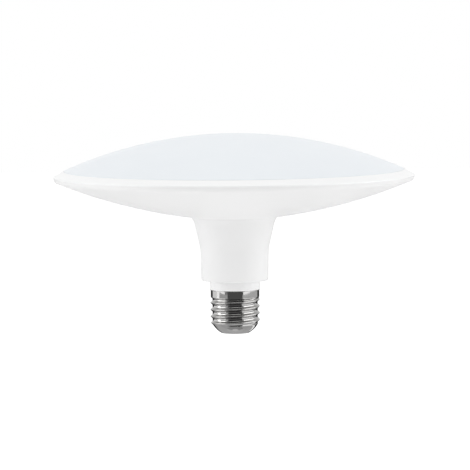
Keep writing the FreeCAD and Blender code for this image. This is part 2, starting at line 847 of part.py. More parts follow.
def make_driver_board():
    """Upright board in the neck, with a tab down into the spigot."""
    body = add_body("driver_board")
    sketch = add_sketch(body, "BoardSection")
    draw_outline(
        sketch,
        [
            Corner(-tab_side, tab_bottom),
            Corner(tab_side, tab_bottom),
            Corner(tab_side, neck_floor),
            Corner(driver_side, neck_floor),
            Corner(driver_side, driver_top),
            Corner(-driver_side, driver_top),
            Corner(-driver_side, neck_floor),
            Corner(-tab_side, neck_floor),
        ],
    )
    pad(body, sketch, s.driver_thick, "Board", centred=True)
    return body


def make_can(name, radius, length, across, side, level):
    """A round can that lies upright along one side of the driver board."""
    body = add_body(name)
    sketch = add_sketch(body, "CanSection", "XY_Plane", level)
    deep = (driver_face + s.seat_gap + radius) * side
    draw_circle(sketch, across, deep, radius)
    pad(body, sketch, length, "Can")
    return body


def make_transformer_core():
    """Ferrite frame with a middle leg, parallel to the driver board."""
    body = add_body("transformer_core")
    front = driver_face + s.seat_gap * 2 + s.coil_wall
    sketch = add_sketch(body, "FrameSection", "XZ_Plane", -front)
    half_width, half_height = s.core_width / 2, s.core_height / 2
    middle, level = s.side_place, upper_level
    draw_box(
        sketch, middle - half_width, middle + half_width, level - half_height, level + half_height
    )
    inner, outer = s.core_leg / 2, half_width - s.core_yoke
    low, high = level - half_height + s.core_yoke, level + half_height - s.core_yoke
    draw_box(sketch, middle - outer, middle - inner, low, high)
    draw_box(sketch, middle + inner, middle + outer, low, high)
    pad(body, sketch, s.core_thick, "Frame", backwards=True)
    return body


def make_transformer_winding():
    """Winding round the core's middle leg."""
    body = add_body("transformer_winding")
    height = s.core_height - s.core_yoke * 2 - s.seat_gap * 2
    sketch = add_sketch(body, "CoilSection", "XY_Plane", upper_level - height / 2)
    near = driver_face
    inner = s.core_leg / 2 + s.seat_gap
    outer = inner + s.coil_wall
    leg_near = near + s.coil_wall + s.seat_gap
    leg_far = leg_near + s.core_thick + s.seat_gap * 2
    far = leg_far + s.coil_wall
    middle = s.side_place
    draw_box(sketch, middle - outer, middle + outer, near, far)
    draw_box(sketch, middle - inner, middle + inner, leg_near, leg_far)
    pad(body, sketch, height, "Coil")
    return body


def make_block(name, across, up, wide, tall, thick, side):
    """A plain package on the driver board: side 1 is the front, side -1 the back."""
    body = add_body(name)
    sketch = add_sketch(body, "PackageSection", "XZ_Plane", driver_face * -side)
    draw_box(sketch, across - wide / 2, across + wide / 2, up - tall / 2, up + tall / 2)
    pad(body, sketch, thick, "Package", backwards=side > 0)
    return body


def make_varistor():
    """Round disc standing on its edge against the back of the driver board."""
    body = add_body("varistor")
    sketch = add_sketch(body, "DiscSection", "YZ_Plane")
    back = -(driver_face + s.seat_gap + s.varistor_radius)
    up = neck_floor + s.capacitor_gap + s.varistor_radius
    draw_circle(sketch, back, up, s.varistor_radius)
    pad(body, sketch, s.varistor_thick, "Disc", centred=True)
    return body


mains_level = neck_floor + s.capacitor_gap
output_level = mains_level + s.mains_length + s.capacitor_gap
film_level = neck_floor + s.capacitor_gap + s.film_height / 2
left, right = -s.capacitor_place, s.capacitor_place

parts = [
    make_centre_contact(),
    make_cap_insulator(),
    make_cap_shell(),
    make_housing(),
    make_front_ring(),
    make_diffuser(),
    make_heat_spreader(),
    make_led_board(),
    make_led_ring("leds_inner", s.led_circle_inner, LED_COUNT_INNER),
    make_led_ring("leds_middle", led_circle_middle, LED_COUNT_MIDDLE),
    make_led_ring("leds_outer", led_circle_outer, LED_COUNT_OUTER),
    make_board_screws(),
    make_wire_socket(),
    make_output_wire("output_wire_positive", 1),
    make_output_wire("output_wire_negative", -1),
    make_live_wire(),
    make_neutral_wire(),
    make_driver_board(),
    make_can("mains_capacitor", s.mains_radius, s.mains_length, left, 1, mains_level),
    make_can("output_capacitor", s.output_radius, s.output_length, left, 1, output_level),
    make_can("fusible_resistor", s.fuse_radius, s.fuse_length, right, -1, mains_level),
    make_transformer_core(),
    make_transformer_winding(),
    make_block(
        "film_capacitor", s.side_place, film_level, s.film_length, s.film_height, s.film_width, 1
    ),
    make_block(
        "bridge_rectifier",
        left,
        film_level,
        s.bridge_width,
        s.bridge_length,
        s.bridge_thick,
        -1,
    ),
    make_block(
        "driver_chip", ZERO, chip_level, s.chip_length, s.chip_width, s.chip_thick, -1
    ),
    make_block(
        "output_diode", right, upper_level, s.diode_width, s.diode_length, s.diode_thick, -1
    ),
    make_varistor(),
]

doc.recompute()

for item in doc.Objects:
    if "Invalid" in item.State or "Error" in item.State:
        raise RuntimeError(f"{item.Label} did not build: {item.State}")
    if item.TypeId in ("PartDesign::Pocket", "PartDesign::Groove"):
        if not item.Shape.Volume < item.BaseFeature.Shape.Volume - LEAST_CUT:
            raise RuntimeError(f"{item.Label} cuts nothing")
for part in parts:
    if part.Shape.isNull() or not part.Shape.isValid():
        raise RuntimeError(f"{part.Label} has no valid shape")

os.makedirs("parts", exist_ok=True)
for part in parts:
    part.Shape.exportStep(f"parts/{part.Label}.step")
print(f"{len(parts)} parts written")
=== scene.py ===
"""A disc-shaped LED lamp standing on its screw cap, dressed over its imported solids."""

import math

import bmesh
import bpy
from mathutils import Matrix, Vector


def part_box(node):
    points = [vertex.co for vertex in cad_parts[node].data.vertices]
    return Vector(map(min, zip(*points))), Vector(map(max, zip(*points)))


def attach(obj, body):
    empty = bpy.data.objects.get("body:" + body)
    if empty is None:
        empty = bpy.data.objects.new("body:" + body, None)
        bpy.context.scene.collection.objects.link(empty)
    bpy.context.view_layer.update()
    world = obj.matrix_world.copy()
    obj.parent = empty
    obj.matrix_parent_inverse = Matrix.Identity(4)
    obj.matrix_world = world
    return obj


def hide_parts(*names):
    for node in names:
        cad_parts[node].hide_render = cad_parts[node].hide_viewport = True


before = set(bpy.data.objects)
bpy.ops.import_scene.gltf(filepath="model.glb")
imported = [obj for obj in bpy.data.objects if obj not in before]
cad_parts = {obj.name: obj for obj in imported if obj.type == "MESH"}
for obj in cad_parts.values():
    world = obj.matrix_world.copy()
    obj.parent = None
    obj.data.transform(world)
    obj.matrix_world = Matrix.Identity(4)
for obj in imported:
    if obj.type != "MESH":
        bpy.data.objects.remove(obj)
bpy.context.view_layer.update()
scene = bpy.context.scene

MM = 0.001

# Sizes in millimetres. Walls, seats and levels are those of the solid model; rounds, the arc
# of the cap's cone, and the detail of screws, LED wells and sleeves are the scene's own.
CONTACT_FLAT, CONTACT_RADIUS, CONTACT_HEAD = 2.5, 4.5, 0.6
RIVET_RADIUS, RIVET_TOP = 1.5, 4.0
INSULATOR_TOP = 2.6
LIP_LEVEL, MOUTH_RADIUS, LIP_RADIUS, LIP_ROUND = 0.5, 6.2, 7.4, 0.9
CONE_TOP, CONE_ARC, ROOT_RADIUS, SHELL_WALL = 5.15, 12.5, 12.05, 0.3
THREAD_DEPTH, THREAD_PITCH, THREAD_START = 1.1, 3.629, 4.85
BAND_BOTTOM, BAND_STEP, BAND_RADIUS, CAP_TOP = 19.7, 0.9, 12.95, 23.8
EDGE_RADIUS, EDGE_HEIGHT = 13.25, 0.35
SPIGOT_BOTTOM, SPIGOT_RADIUS, SPIGOT_BORE = 7.45, 11.65, 10.15
COLLAR_RADIUS, NECK_BOTTOM = 13.45, 28.6
NECK_RADIUS, NECK_WALL = 17.9, 1.6
FLARE_FOOT, FLARE_LEVEL, FLARE_BLEND = 18.2, 45.3, 25.0
FLARE_RADIUS, FLARE_TOP, FLARE_ROUND = 21.6, 60.2, 11.0
CREASE_RADIUS, CREASE_LEVEL = 23.2, 62.6
BOWL_ARC, BOWL_WALL, RIM_BEVEL, RIM_ROUND = 272.0, 1.6, 0.3, 2.2
RIM_RADIUS, RIM_BOTTOM, RIM_SEAT, RIM_BORE = 96.0, 82.2, 84.1, 88.2
TONGUE_OUTER, TONGUE_INNER, TONGUE_DEPTH = 94.6, 93.4, 1.15
RING_TOP, RING_EDGE, RING_BORE = 87.6, 84.9, 90.4
DOME_RADIUS, DOME_EDGE, DOME_RISE, DOME_WALL = 90.3, 87.7, 19.1, 1.4
FLANGE_TOP, FLANGE_RADIUS = 85.4, 92.6
PLAY = 0.1
GUIDE_HEIGHT, GUIDE_THICK, GUIDE_REACH = 12.0, 1.4, 1.2
DRIVER_FACE, DRIVER_SIDE = 0.8, 14.3
TRAY_BOTTOM, BOARD_TOP = 75.46, 77.26
BOSS_RADIUS, BOSS_HOLE, BOSS_DEPTH = 3.4, 1.5, 7.2
SCREW_CIRCLE, SCREW_RADIUS, SCREW_LENGTH, SCREW_COUNT = 33.0, 1.45, 8.0, 2
HEAD_RADIUS, HEAD_HEIGHT = 2.8, 1.8
SCREW_THREAD, SCREW_PITCH, SCREW_TIP, SCREW_NECK = 0.35, 1.06, 1.2, 1.3
LED_LENGTH, LED_WIDTH, LED_HEIGHT = 3.5, 2.8, 0.75
WELL_EDGE, WELL_SLOPE, WELL_DEPTH = 0.35, 0.15, 0.18
SLEEVE_EDGE, SLEEVE_DROP, VENT_DROP = 1.0, 0.4, 0.15

# A bend of 45 degrees moves the inner corner of the shell's sheet by this much
SHEET_SHIFT = SHELL_WALL * math.tan(math.radians(22.5))


# Sections in the plane through the axis: points are (across, up)


def arc_through(start, end, radius, left, steps):
    """Points of the arc from start to end, with its centre on the left or right of the way."""
    a, b = Vector(start), Vector(end)
    way = b - a
    reach = math.sqrt(radius**2 - way.length_squared / 4)
    normal = Vector((-way.y, way.x)).normalized()
    centre = (a + b) / 2 + normal * (reach if left else -reach)
    first = math.atan2(a.y - centre.y, a.x - centre.x)
    last = math.atan2(b.y - centre.y, b.x - centre.x)
    sweep = (last - first) % math.tau if left else -((first - last) % math.tau)
    angles = [first + sweep * i / steps for i in range(steps + 1)]
    return [(centre.x + radius * math.cos(t), centre.y + radius * math.sin(t)) for t in angles]


def arc_middle(start, end, radius):
    """The centre of the arc from start to end that curves upwards."""
    a, b = Vector(start), Vector(end)
    way = b - a
    reach = math.sqrt(radius**2 - way.length_squared / 4)
    return (a + b) / 2 + Vector((-way.y, way.x)).normalized() * reach


def soften(corners, steps=4):
    """The corners with an arc in place of each one that has a third value, its radius."""
    points = []
    for i, corner in enumerate(corners):
        here = Vector(corner[:2])
        if len(corner) == 2:
            points.append(tuple(here))
            continue
        back = (Vector(corners[i - 1][:2]) - here).normalized()
        on = (Vector(corners[(i + 1) % len(corners)][:2]) - here).normalized()
        half = back.angle(on) / 2
        trim = corner[2] / math.tan(half)
        centre = here + (back + on).normalized() * corner[2] / math.sin(half)
        spoke = here + back * trim - centre
        last = here + on * trim - centre
        sweep = math.atan2(spoke.cross(last), spoke.dot(last))
        for step in range(steps + 1):
            c, s = math.cos(sweep * step / steps), math.sin(sweep * step / steps)
            points.append(
                (centre.x + spoke.x * c - spoke.y * s, centre.y + spoke.x * s + spoke.y * c)
            )
    return points


def bowl_inside(across):
    """Level of the bowl's inner face at a distance from the axis."""
    foot, lip = (CREASE_RADIUS, CREASE_LEVEL), (RIM_RADIUS - RIM_BEVEL, RIM_BOTTOM)
    centre = arc_middle(foot, lip, BOWL_ARC)
    return centre.y - math.sqrt((BOWL_ARC - BOWL_WALL) ** 2 - (across - centre.x) ** 2)


def divide(start, end, pieces):
    """The points between two places, both of them included."""
    a, b = Vector(start), Vector(end)
    return [tuple(a.lerp(b, i / pieces)) for i in range(pieces + 1)]


# Node trees


class Tree:
    """A node tree that is written one node at a time."""

    def __init__(self, tree):
        self.tree = tree

    def add(self, kind, *values, **settings):
        """A node of that kind; values go into its first sockets, as links or as constants."""
        node = self.tree.nodes.new(kind)
        for name, value in settings.items():
            setattr(node, name, value)
        sockets = [socket for socket in node.inputs if socket.enabled]
        for socket, value in zip(sockets, values):
            self.feed(socket, value)
        return node

    def feed(self, socket, value):
        """Links a node or an output to the socket, or sets the socket to a constant."""
        if isinstance(value, bpy.types.Node):
            value = next(output for output in value.outputs if output.enabled)
        if isinstance(value, bpy.types.NodeSocket):
            self.tree.links.new(value, socket)
        else:
            socket.default_value = value

    def feed_named(self, node, **values):
        """Feeds the node's sockets by name, with an underscore for each space."""
        for name, value in values.items():
            self.feed(node.inputs[name.replace("_", " ")], value)
        return node

    def given(self, label):
        """One of the group's own inputs."""
        return self.start.outputs[label]


class ShapeTree(Tree):
    """A geometry tree with named inputs, which starts from the mesh that it is put on."""

    def __init__(self, name, **inputs):
        super().__init__(bpy.data.node_groups.new(name, "GeometryNodeTree"))
        face = self.tree.interface
        face.new_socket("Geometry", in_out="INPUT", socket_type="NodeSocketGeometry")
        for label, (kind, value) in inputs.items():
            socket = face.new_socket(
                label.replace("_", " "), in_out="INPUT", socket_type=f"NodeSocket{kind}"
            )
            if value is not None:
                socket.default_value = value
        face.new_socket("Geometry", in_out="OUTPUT", socket_type="NodeSocketGeometry")
        self.start = self.add("NodeGroupInput")

    def math(self, operation, *values):
        return self.add("ShaderNodeMath", *values, operation=operation).outputs[0]

    def combine(self, x, y, z):
        return self.add("ShaderNodeCombineXYZ", x, y, z).outputs[0]

    def end(self, shape):
        """Makes instances real, sets the material and gives the result out."""
        real = self.add("GeometryNodeRealizeInstances", shape)
        painted = self.add("GeometryNodeSetMaterial")
        self.feed_named(painted, Geometry=real, Material=self.given("Material"))
        self.add("NodeGroupOutput", painted)


def turned_form_tree():
    """Turns a section, given as a row of points, once round the Z axis."""
    t = ShapeTree(
        "Turned form",
        Segments=("Int", 256),
        Section_Points=("Int", 3),
        Sharp_Angle=("Float", math.radians(32)),
        Material=("Material", None),
    )
    around = t.math("ADD", t.given("Segments"), 1)
    grid = t.add("GeometryNodeMeshGrid")
    t.feed_named(grid, Vertices_X=t.given("Section Points"), Vertices_Y=around)
    index = t.add("GeometryNodeInputIndex").outputs[0]
    row = t.math("FLOOR", t.math("DIVIDE", t.math("ADD", index, 0.5), around))
    column = t.math("SUBTRACT", index, t.math("MULTIPLY", row, around))
    angle = t.math("MULTIPLY", t.math("DIVIDE", column, t.given("Segments")), math.tau)
    sampled = t.add("GeometryNodeSampleIndex", data_type="FLOAT_VECTOR", domain="POINT")
    t.feed(sampled.inputs[0], t.given("Geometry"))
    t.feed(sampled.inputs["Value"], t.add("GeometryNodeInputPosition"))
    t.feed(sampled.inputs["Index"], row)
    place = t.add("ShaderNodeSeparateXYZ", sampled.outputs[0])
    spot = t.combine(
        t.math("MULTIPLY", place.outputs[0], t.math("COSINE", angle)),
        t.math("MULTIPLY", place.outputs[0], t.math("SINE", angle)),
        place.outputs[2],
    )
    moved = t.feed_named(t.add("GeometryNodeSetPosition"), Geometry=grid, Position=spot)
    merged = t.add("GeometryNodeMergeByDistance")
    t.feed_named(merged, Geometry=moved, Distance=1e-6)
    smooth = t.add("GeometryNodeSetShadeSmooth", domain="FACE")
    t.feed(smooth.inputs[0], merged)
    edge = t.add("GeometryNodeInputMeshEdgeAngle").outputs[0]
    sharp = t.add("FunctionNodeCompare", edge, t.given("Sharp Angle"), operation="GREATER_THAN")
    creased = t.add("GeometryNodeSetShadeSmooth", domain="EDGE")
    t.feed_named(creased, Selection=sharp, Shade_Smooth=False)
    t.feed(creased.inputs[0], smooth)
    t.end(creased)
    return t.tree


def rolled_thread_tree(turned_form):
    """Rolls a right-handed thread into a turned sheet, faded out at both ends."""
    t = ShapeTree(
        "Rolled thread",
        Segments=("Int", 224),
        Section_Points=("Int", 3),
        Sharp_Angle=("Float", math.radians(40)),
        Depth=("Float", THREAD_DEPTH * MM),
        Pitch=("Float", THREAD_PITCH * MM),
        Start=("Float", THREAD_START * MM),
        Sharpness=("Float", 2.0),
        Fade_In=("Float", 1.8 * MM),
        Fade_Out=("Float", 1.4 * MM),
        Top=("Float", BAND_BOTTOM * MM),
        Material=("Material", None),
    )
    turned = t.add("GeometryNodeGroup", node_tree=turned_form)
    t.feed(turned.inputs[0], t.given("Geometry"))
    for label in ("Segments", "Section Points", "Sharp Angle", "Material"):
        t.feed(turned.inputs[label], t.given(label))
    place = t.add("ShaderNodeSeparateXYZ", t.add("GeometryNodeInputPosition"))
    x, y, z = place.outputs
    angle = t.math("ARCTAN2", y, x)
    turns = t.math("DIVIDE", t.math("SUBTRACT", angle, math.pi / 2), math.tau)
    climb = t.math("DIVIDE", t.math("SUBTRACT", z, t.given("Start")), t.given("Pitch"))
    phase = t.math("MULTIPLY", t.math("SUBTRACT", climb, turns), math.tau)
    wave = t.math("MULTIPLY_ADD", t.math("COSINE", phase), 0.5, 0.5)
    ridge = t.math("POWER", wave, t.given("Sharpness"))
    low = t.add("ShaderNodeMapRange", interpolation_type="SMOOTHSTEP")
    foot = t.math("SUBTRACT", t.given("Start"), 0.3 * MM)
    t.feed_named(
        low, Value=z, From_Min=foot, From_Max=t.math("ADD", foot, t.given("Fade In"))
    )
    high = t.add("ShaderNodeMapRange", interpolation_type="SMOOTHSTEP")
    t.feed_named(
        high, Value=z, From_Min=t.given("Top"),
        From_Max=t.math("SUBTRACT", t.given("Top"), t.given("Fade Out")),
    )
    fade = t.math("MULTIPLY", low.outputs[0], high.outputs[0])
    swell = t.math("MULTIPLY", t.math("MULTIPLY", ridge, fade), t.given("Depth"))
    outward = t.combine(t.math("COSINE", angle), t.math("SINE", angle), 0.0)
    push = t.add("ShaderNodeVectorMath", outward, operation="SCALE")
    t.feed(push.inputs["Scale"], swell)
    rolled = t.add("GeometryNodeSetPosition")
    t.feed_named(rolled, Geometry=turned, Offset=push)
    t.end(rolled)
    return t.tree


def ring_of_pieces_tree():
    """Repeats the mesh on a circle about the Z axis, turned to face outwards."""
    t = ShapeTree(
        "Pieces on a circle",
        Count=("Int", 12),
        Radius=("Float", 22 * MM),
        Level=("Float", 0.0),
        Material=("Material", None),
    )
    index = t.add("GeometryNodeInputIndex").outputs[0]
    angle = t.math("MULTIPLY", t.math("DIVIDE", index, t.given("Count")), math.tau)
    spot = t.combine(
        t.math("MULTIPLY", t.given("Radius"), t.math("COSINE", angle)),
        t.math("MULTIPLY", t.given("Radius"), t.math("SINE", angle)),
        t.given("Level"),
    )
    points = t.add("GeometryNodePoints")
    t.feed_named(points, Count=t.given("Count"), Position=spot)
    turn = t.add("FunctionNodeEulerToRotation", t.combine(0.0, 0.0, angle))
    copies = t.add("GeometryNodeInstanceOnPoints")
    t.feed_named(copies, Points=points, Instance=t.given("Geometry"), Rotation=turn)
    t.end(copies)
    return t.tree


def cross_recess_tree():
    """Cuts a cross into the top of the mesh."""
    t = ShapeTree(
        "Cross recess",
        Width=("Float", 0.6 * MM),
        Length=("Float", 3.0 * MM),
        Depth=("Float", 1.0 * MM),
        Level=("Float", 0.0),
        Material=("Material", None),
    )
    tall = t.math("MULTIPLY", t.given("Depth"), 2.0)
    cut = t.add("GeometryNodeMeshBoolean", operation="DIFFERENCE", solver="EXACT")
    t.feed(cut.inputs[0], t.given("Geometry"))
    for across, along in (("Width", "Length"), ("Length", "Width")):
        bar = t.add("GeometryNodeMeshCube")
        t.feed_named(bar, Size=t.combine(t.given(across), t.given(along), tall))
        raised = t.add("GeometryNodeTransform")
        t.feed_named(
            raised, Geometry=bar, Translation=t.combine(0.0, 0.0, t.given("Level"))
        )
        t.feed(cut.inputs[1], raised)
    joined = t.add("GeometryNodeMergeByDistance")
    t.feed_named(joined, Geometry=cut, Distance=2e-6)
    t.end(joined)
    return t.tree


turned_form = turned_form_tree()
rolled_thread = rolled_thread_tree(turned_form)
ring_of_pieces = ring_of_pieces_tree()
cross_recess = cross_recess_tree()


def new_object(name, data):
    """An object in the scene for a mesh, a light or a camera."""
    obj = bpy.data.objects.new(name, data)
    scene.collection.objects.link(obj)
    return obj


def grow(name, mesh, tree, **inputs):
    """Puts a tree on the mesh, with its inputs, and returns an object with the plain result."""
    obj = new_object(name, mesh)
    modifier = obj.modifiers.new(tree.name, "NODES")
    modifier.node_group = tree
    for item in tree.interface.items_tree:
        label = item.name.replace(" ", "_")
        if item.in_out == "INPUT" and label in inputs:
            modifier[item.identifier] = inputs[label]
    evaluated = obj.evaluated_get(bpy.context.evaluated_depsgraph_get())
    result = bpy.data.meshes.new_from_object(evaluated)
    obj.modifiers.remove(modifier)
    obj.data = result
    result.name = name
    bpy.data.meshes.remove(mesh)
    return obj


def face_outwards(obj):
    """Turns the faces of a closed piece outwards."""
    form = bmesh.new()
    form.from_mesh(obj.data)
    bmesh.ops.recalc_face_normals(form, faces=form.faces)
    form.to_mesh(obj.data)
    form.free()


def block(form, low, high):
    """Adds a closed box to a bmesh, between two corners in metres."""
    size = Vector(high) - Vector(low)
    middle = (Vector(high) + Vector(low)) / 2
    place = Matrix.Translation(middle) @ Matrix.Diagonal((*size, 1))
    bmesh.ops.create_cube(form, size=1, matrix=place)


def round_edges(form, width, segments):
    """Rounds all edges of a bmesh; the width is in millimetres."""
    bmesh.ops.bevel(
        form, geom=form.edges[:], offset=width * MM, segments=segments, affect="EDGES",
        profile=0.5,
    )


def written(form, name):
    """The bmesh as a mesh of that name; the bmesh is freed."""
    mesh = bpy.data.meshes.new(name)
    form.to_mesh(mesh)
    form.free()
    return mesh


def turned(name, section, material, closed=True, tree=None, segments=256, **inputs):
    """A piece turned from a section that is given in millimetres."""
    points = [(r * MM, 0, z * MM) for r, z in section]
    if closed:
        points.append(points[0])
    mesh = bpy.data.meshes.new(f"{name}_section")
    mesh.from_pydata(points, [], [])
    obj = grow(
        name, mesh, tree or turned_form,
        Segments=segments, Section_Points=len(points), Material=material, **inputs,
    )
    face_outwards(obj)
    return obj


def regrow(obj, tree, material, **inputs):
    """Puts one more tree on a piece; returns the piece under its own name."""
    name, mesh = obj.name, obj.data
    bpy.data.objects.remove(obj)
    return grow(name, mesh, tree, Material=material, **inputs)


def stand_for(piece, node):
    """The piece rides the lamp's body and takes the place of a node."""
    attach(piece, "root")
    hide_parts(node)


# Materials


def new_material(name):
    """An empty node material."""
    material = bpy.data.materials.new(name)
    material.use_nodes = True
    material.node_tree.nodes.clear()
    return material


class FinishGroup(Tree):
    """A shader group with named inputs and outputs."""

    def __init__(self, name, inputs, outputs):
        super().__init__(bpy.data.node_groups.new(name, "ShaderNodeTree"))
        face = self.tree.interface
        for label, kind, value in inputs:
            socket = face.new_socket(label, in_out="INPUT", socket_type=f"NodeSocket{kind}")
            socket.default_value = value
        for label, kind in outputs:
            face.new_socket(label, in_out="OUTPUT", socket_type=f"NodeSocket{kind}")
        self.start = self.add("NodeGroupInput")

    def noise(self, scale, detail=3.0, rough=0.5, stretch=None):
        """Noise in the piece's own coordinates, stretched where that is given."""
        where = self.add("ShaderNodeTexCoord").outputs["Object"]
        if stretch is not None:
            mapping = self.add("ShaderNodeMapping", where)
            mapping.inputs["Scale"].default_value = stretch
            where = mapping.outputs[0]
        node = self.add("ShaderNodeTexNoise")
        self.feed_named(node, Vector=where, Scale=scale, Detail=detail, Roughness=rough)
        return node.outputs["Fac"]

    def between(self, value, low, high, start=0.35, stop=0.65):
        """Runs from low to high while the value runs from start to stop."""
        node = self.add("ShaderNodeMapRange")
        self.feed_named(
            node, Value=value, From_Min=start, From_Max=stop, To_Min=low, To_Max=high
        )
        return node.outputs[0]

    def mix(self, factor, first, second):
        node = self.add("ShaderNodeMix", data_type="RGBA")
        self.feed(node.inputs[0], factor)
        self.feed(node.inputs[6], first)
        self.feed(node.inputs[7], second)
        return node.outputs[2]

    def sum(self, first, second, weight):
        """The first value plus the second one times its weight."""
        node = self.add("ShaderNodeMath", second, weight, first, operation="MULTIPLY_ADD")
        return node.outputs[0]

    def end(self, *values):
        self.add("NodeGroupOutput", *values)


def moulded_skin():
    """Flow shade, eroded mould texture and faint handling dust of a moulded surface."""
    g = FinishGroup(
        "Moulded skin",
        [
            ("Colour", "Color", (0.8, 0.8, 0.8, 1)),
            ("Shade", "Color", (0.7, 0.7, 0.7, 1)),
            ("Smooth", "Float", 0.3),
            ("Rough", "Float", 0.4),
            ("Grain Scale", "Float", 2500.0),
        ],
        [("Colour", "Color"), ("Roughness", "Float"), ("Height", "Float")],
    )
    flow = g.noise(28.0, 4.0)
    specks = g.noise(900.0, 2.0)
    dust = g.between(specks, 0.0, 0.35, 0.68, 0.78)
    drift = g.between(flow, 0.0, 0.55)
    colour = g.mix(drift, g.given("Colour"), g.given("Shade"))
    colour = g.mix(dust, colour, g.given("Shade"))
    roughness = g.between(g.noise(60.0, 5.0), g.given("Smooth"), g.given("Rough"))
    grain = g.noise(g.given("Grain Scale"), 2.0)
    g.end(colour, roughness, g.sum(grain, flow, 0.4))
    return g.tree


def rolled_marks_and_flank_shade():
    """Fine marks round a rolled piece, with tarnish in patches, and painted shade in the tarnish
    colour on flanks that face up.
    """
    g = FinishGroup(
        "Rolled marks",
        [
            ("Colour", "Color", (0.7, 0.7, 0.7, 1)),
            ("Tarnish", "Color", (0.5, 0.48, 0.45, 1)),
            ("Smooth", "Float", 0.1),
            ("Rough", "Float", 0.25),
            ("Flank Tarnish", "Float", 0.0),
        ],
        [("Colour", "Color"), ("Roughness", "Float"), ("Height", "Float")],
    )
    lines = g.noise(900.0, 2.0, 0.5, (0.02, 0.02, 6.0))
    patches = g.noise(120.0, 5.0, 0.6)
    stain = g.between(patches, 0.0, 0.5, 0.55, 0.8)
    colour = g.mix(stain, g.given("Colour"), g.given("Tarnish"))
    # Painted shade: flanks whose normals face up are darkened towards the tarnish colour,
    # whatever the wear
    normal = g.add("ShaderNodeNewGeometry").outputs["Normal"]
    upward = g.add("ShaderNodeSeparateXYZ", normal).outputs["Z"]
    flank_shade_mask = g.between(upward, 0.0, g.given("Flank Tarnish"), 0.15, 0.6)
    colour = g.mix(flank_shade_mask, colour, g.given("Tarnish"))
    worn = g.sum(g.between(patches, 0.0, 0.6), lines, 0.4)
    roughness = g.between(worn, g.given("Smooth"), g.given("Rough"), 0.0, 1.0)
    g.end(colour, roughness, g.sum(lines, patches, 0.3))
    return g.tree


def fine_speckle():
    """Sparse specks and mottling for sintered, laminated and potted materials."""
    g = FinishGroup(
        "Fine speckle",
        [
            ("Colour", "Color", (0.5, 0.5, 0.5, 1)),
            ("Speck", "Color", (0.6, 0.6, 0.6, 1)),
            ("Amount", "Float", 0.5),
            ("Speck Scale", "Float", 1500.0),
            ("Smooth", "Float", 0.4),
            ("Rough", "Float", 0.6),
        ],
        [("Colour", "Color"), ("Roughness", "Float"), ("Height", "Float")],
    )
    cells = g.add("ShaderNodeTexVoronoi", feature="F1")
    g.feed_named(
        cells, Vector=g.add("ShaderNodeTexCoord").outputs["Object"], Scale=g.given("Speck Scale")
    )
    spots = g.between(cells.outputs["Distance"], g.given("Amount"), 0.0, 0.05, 0.45)
    colour = g.mix(spots, g.given("Colour"), g.given("Speck"))
    mottle = g.noise(400.0, 4.0)
    roughness = g.between(mottle, g.given("Smooth"), g.given("Rough"))
    g.end(colour, roughness, g.sum(mottle, spots, 0.3))
    return g.tree


groups = {"moulded": moulded_skin(), "rolled": rolled_marks_and_flank_shade(), "speckled": fine_speckle()}


def finish(name, group, bump, bump_depth, shader, **values):
    """A material whose colour, roughness and height come from one of the shared groups.

    The bump's depth is in millimetres; shader holds the constants of the surface itself.
    """
    material = new_material(name)
    t = Tree(material.node_tree)
    effect = t.add("ShaderNodeGroup", node_tree=groups[group])
    for label, value in values.items():
        if isinstance(value, tuple):
            value = (*value, 1.0)
        effect.inputs[label.replace("_", " ")].default_value = value
    relief = t.add("ShaderNodeBump")
    t.feed_named(
        relief, Strength=bump, Distance=bump_depth * MM, Height=effect.outputs["Height"]
    )
    surface = t.add("ShaderNodeBsdfPrincipled")
    t.feed_named(
        surface, Base_Color=effect.outputs["Colour"], Roughness=effect.outputs["Roughness"],
        Normal=relief,
    )
    for label, value in shader.items():
        surface.inputs[label].default_value = value
    t.add("ShaderNodeOutputMaterial", surface)
    return material


opal = finish(
    "Opal dome", "moulded", 0.03, 0.02,
    {"IOR": 1.58, "Subsurface Weight": 0.12, "Subsurface Scale": 0.002,
     "Subsurface Radius": (1.0, 1.0, 1.0)},
    Colour=(0.80, 0.835, 0.866), Shade=(0.785, 0.82, 0.853), Smooth=0.36, Rough=0.44,
    Grain_Scale=1800.0,
)
housing_white = finish(
    "Housing moulding", "moulded", 0.05, 0.03,
    {"IOR": 1.5, "Specular IOR Level": 0.15, "Sheen Weight": 0.45, "Sheen Roughness": 0.25},
    Colour=(0.865, 0.865, 0.865), Shade=(0.85, 0.85, 0.85), Smooth=0.42, Rough=0.52,
    Grain_Scale=2200.0,
)
ring_white = finish(
    "Ring moulding", "moulded", 0.03, 0.02, {"IOR": 1.5},
    Colour=(0.9, 0.905, 0.905), Shade=(0.88, 0.885, 0.885), Smooth=0.3, Rough=0.38,
    Grain_Scale=2000.0,
)
# The nickel's thread flanks that face up carry painted shade, at full strength
nickel = finish(
    "Nickel plate", "rolled", 0.02, 0.005, {"Metallic": 1.0},
    Colour=(0.57, 0.565, 0.56), Tarnish=(0.3, 0.297, 0.29), Smooth=0.04, Rough=0.1,
    Flank_Tarnish=1.0,
)
black_moulding = finish(
    "Black insulator", "moulded", 0.1, 0.03, {"IOR": 1.55},
    Colour=(0.012, 0.012, 0.014), Shade=(0.02, 0.02, 0.022), Smooth=0.28, Rough=0.42,
    Grain_Scale=2600.0,
)
contact_metal = finish(
    "Tinned contact", "rolled", 0.08, 0.01, {"Metallic": 1.0},
    Colour=(0.62, 0.58, 0.48), Tarnish=(0.42, 0.38, 0.28), Smooth=0.22, Rough=0.4,
)
aluminium = finish(
    "Mill aluminium", "rolled", 0.1, 0.01, {"Metallic": 1.0},
    Colour=(0.72, 0.73, 0.74), Tarnish=(0.6, 0.61, 0.62), Smooth=0.28, Rough=0.42,
)
board_mask = finish(
    "White solder mask", "speckled", 0.05, 0.01, {"IOR": 1.5},
    Colour=(0.82, 0.82, 0.8), Speck=(0.72, 0.72, 0.7), Amount=0.25, Speck_Scale=900.0,
    Smooth=0.3, Rough=0.42,
)
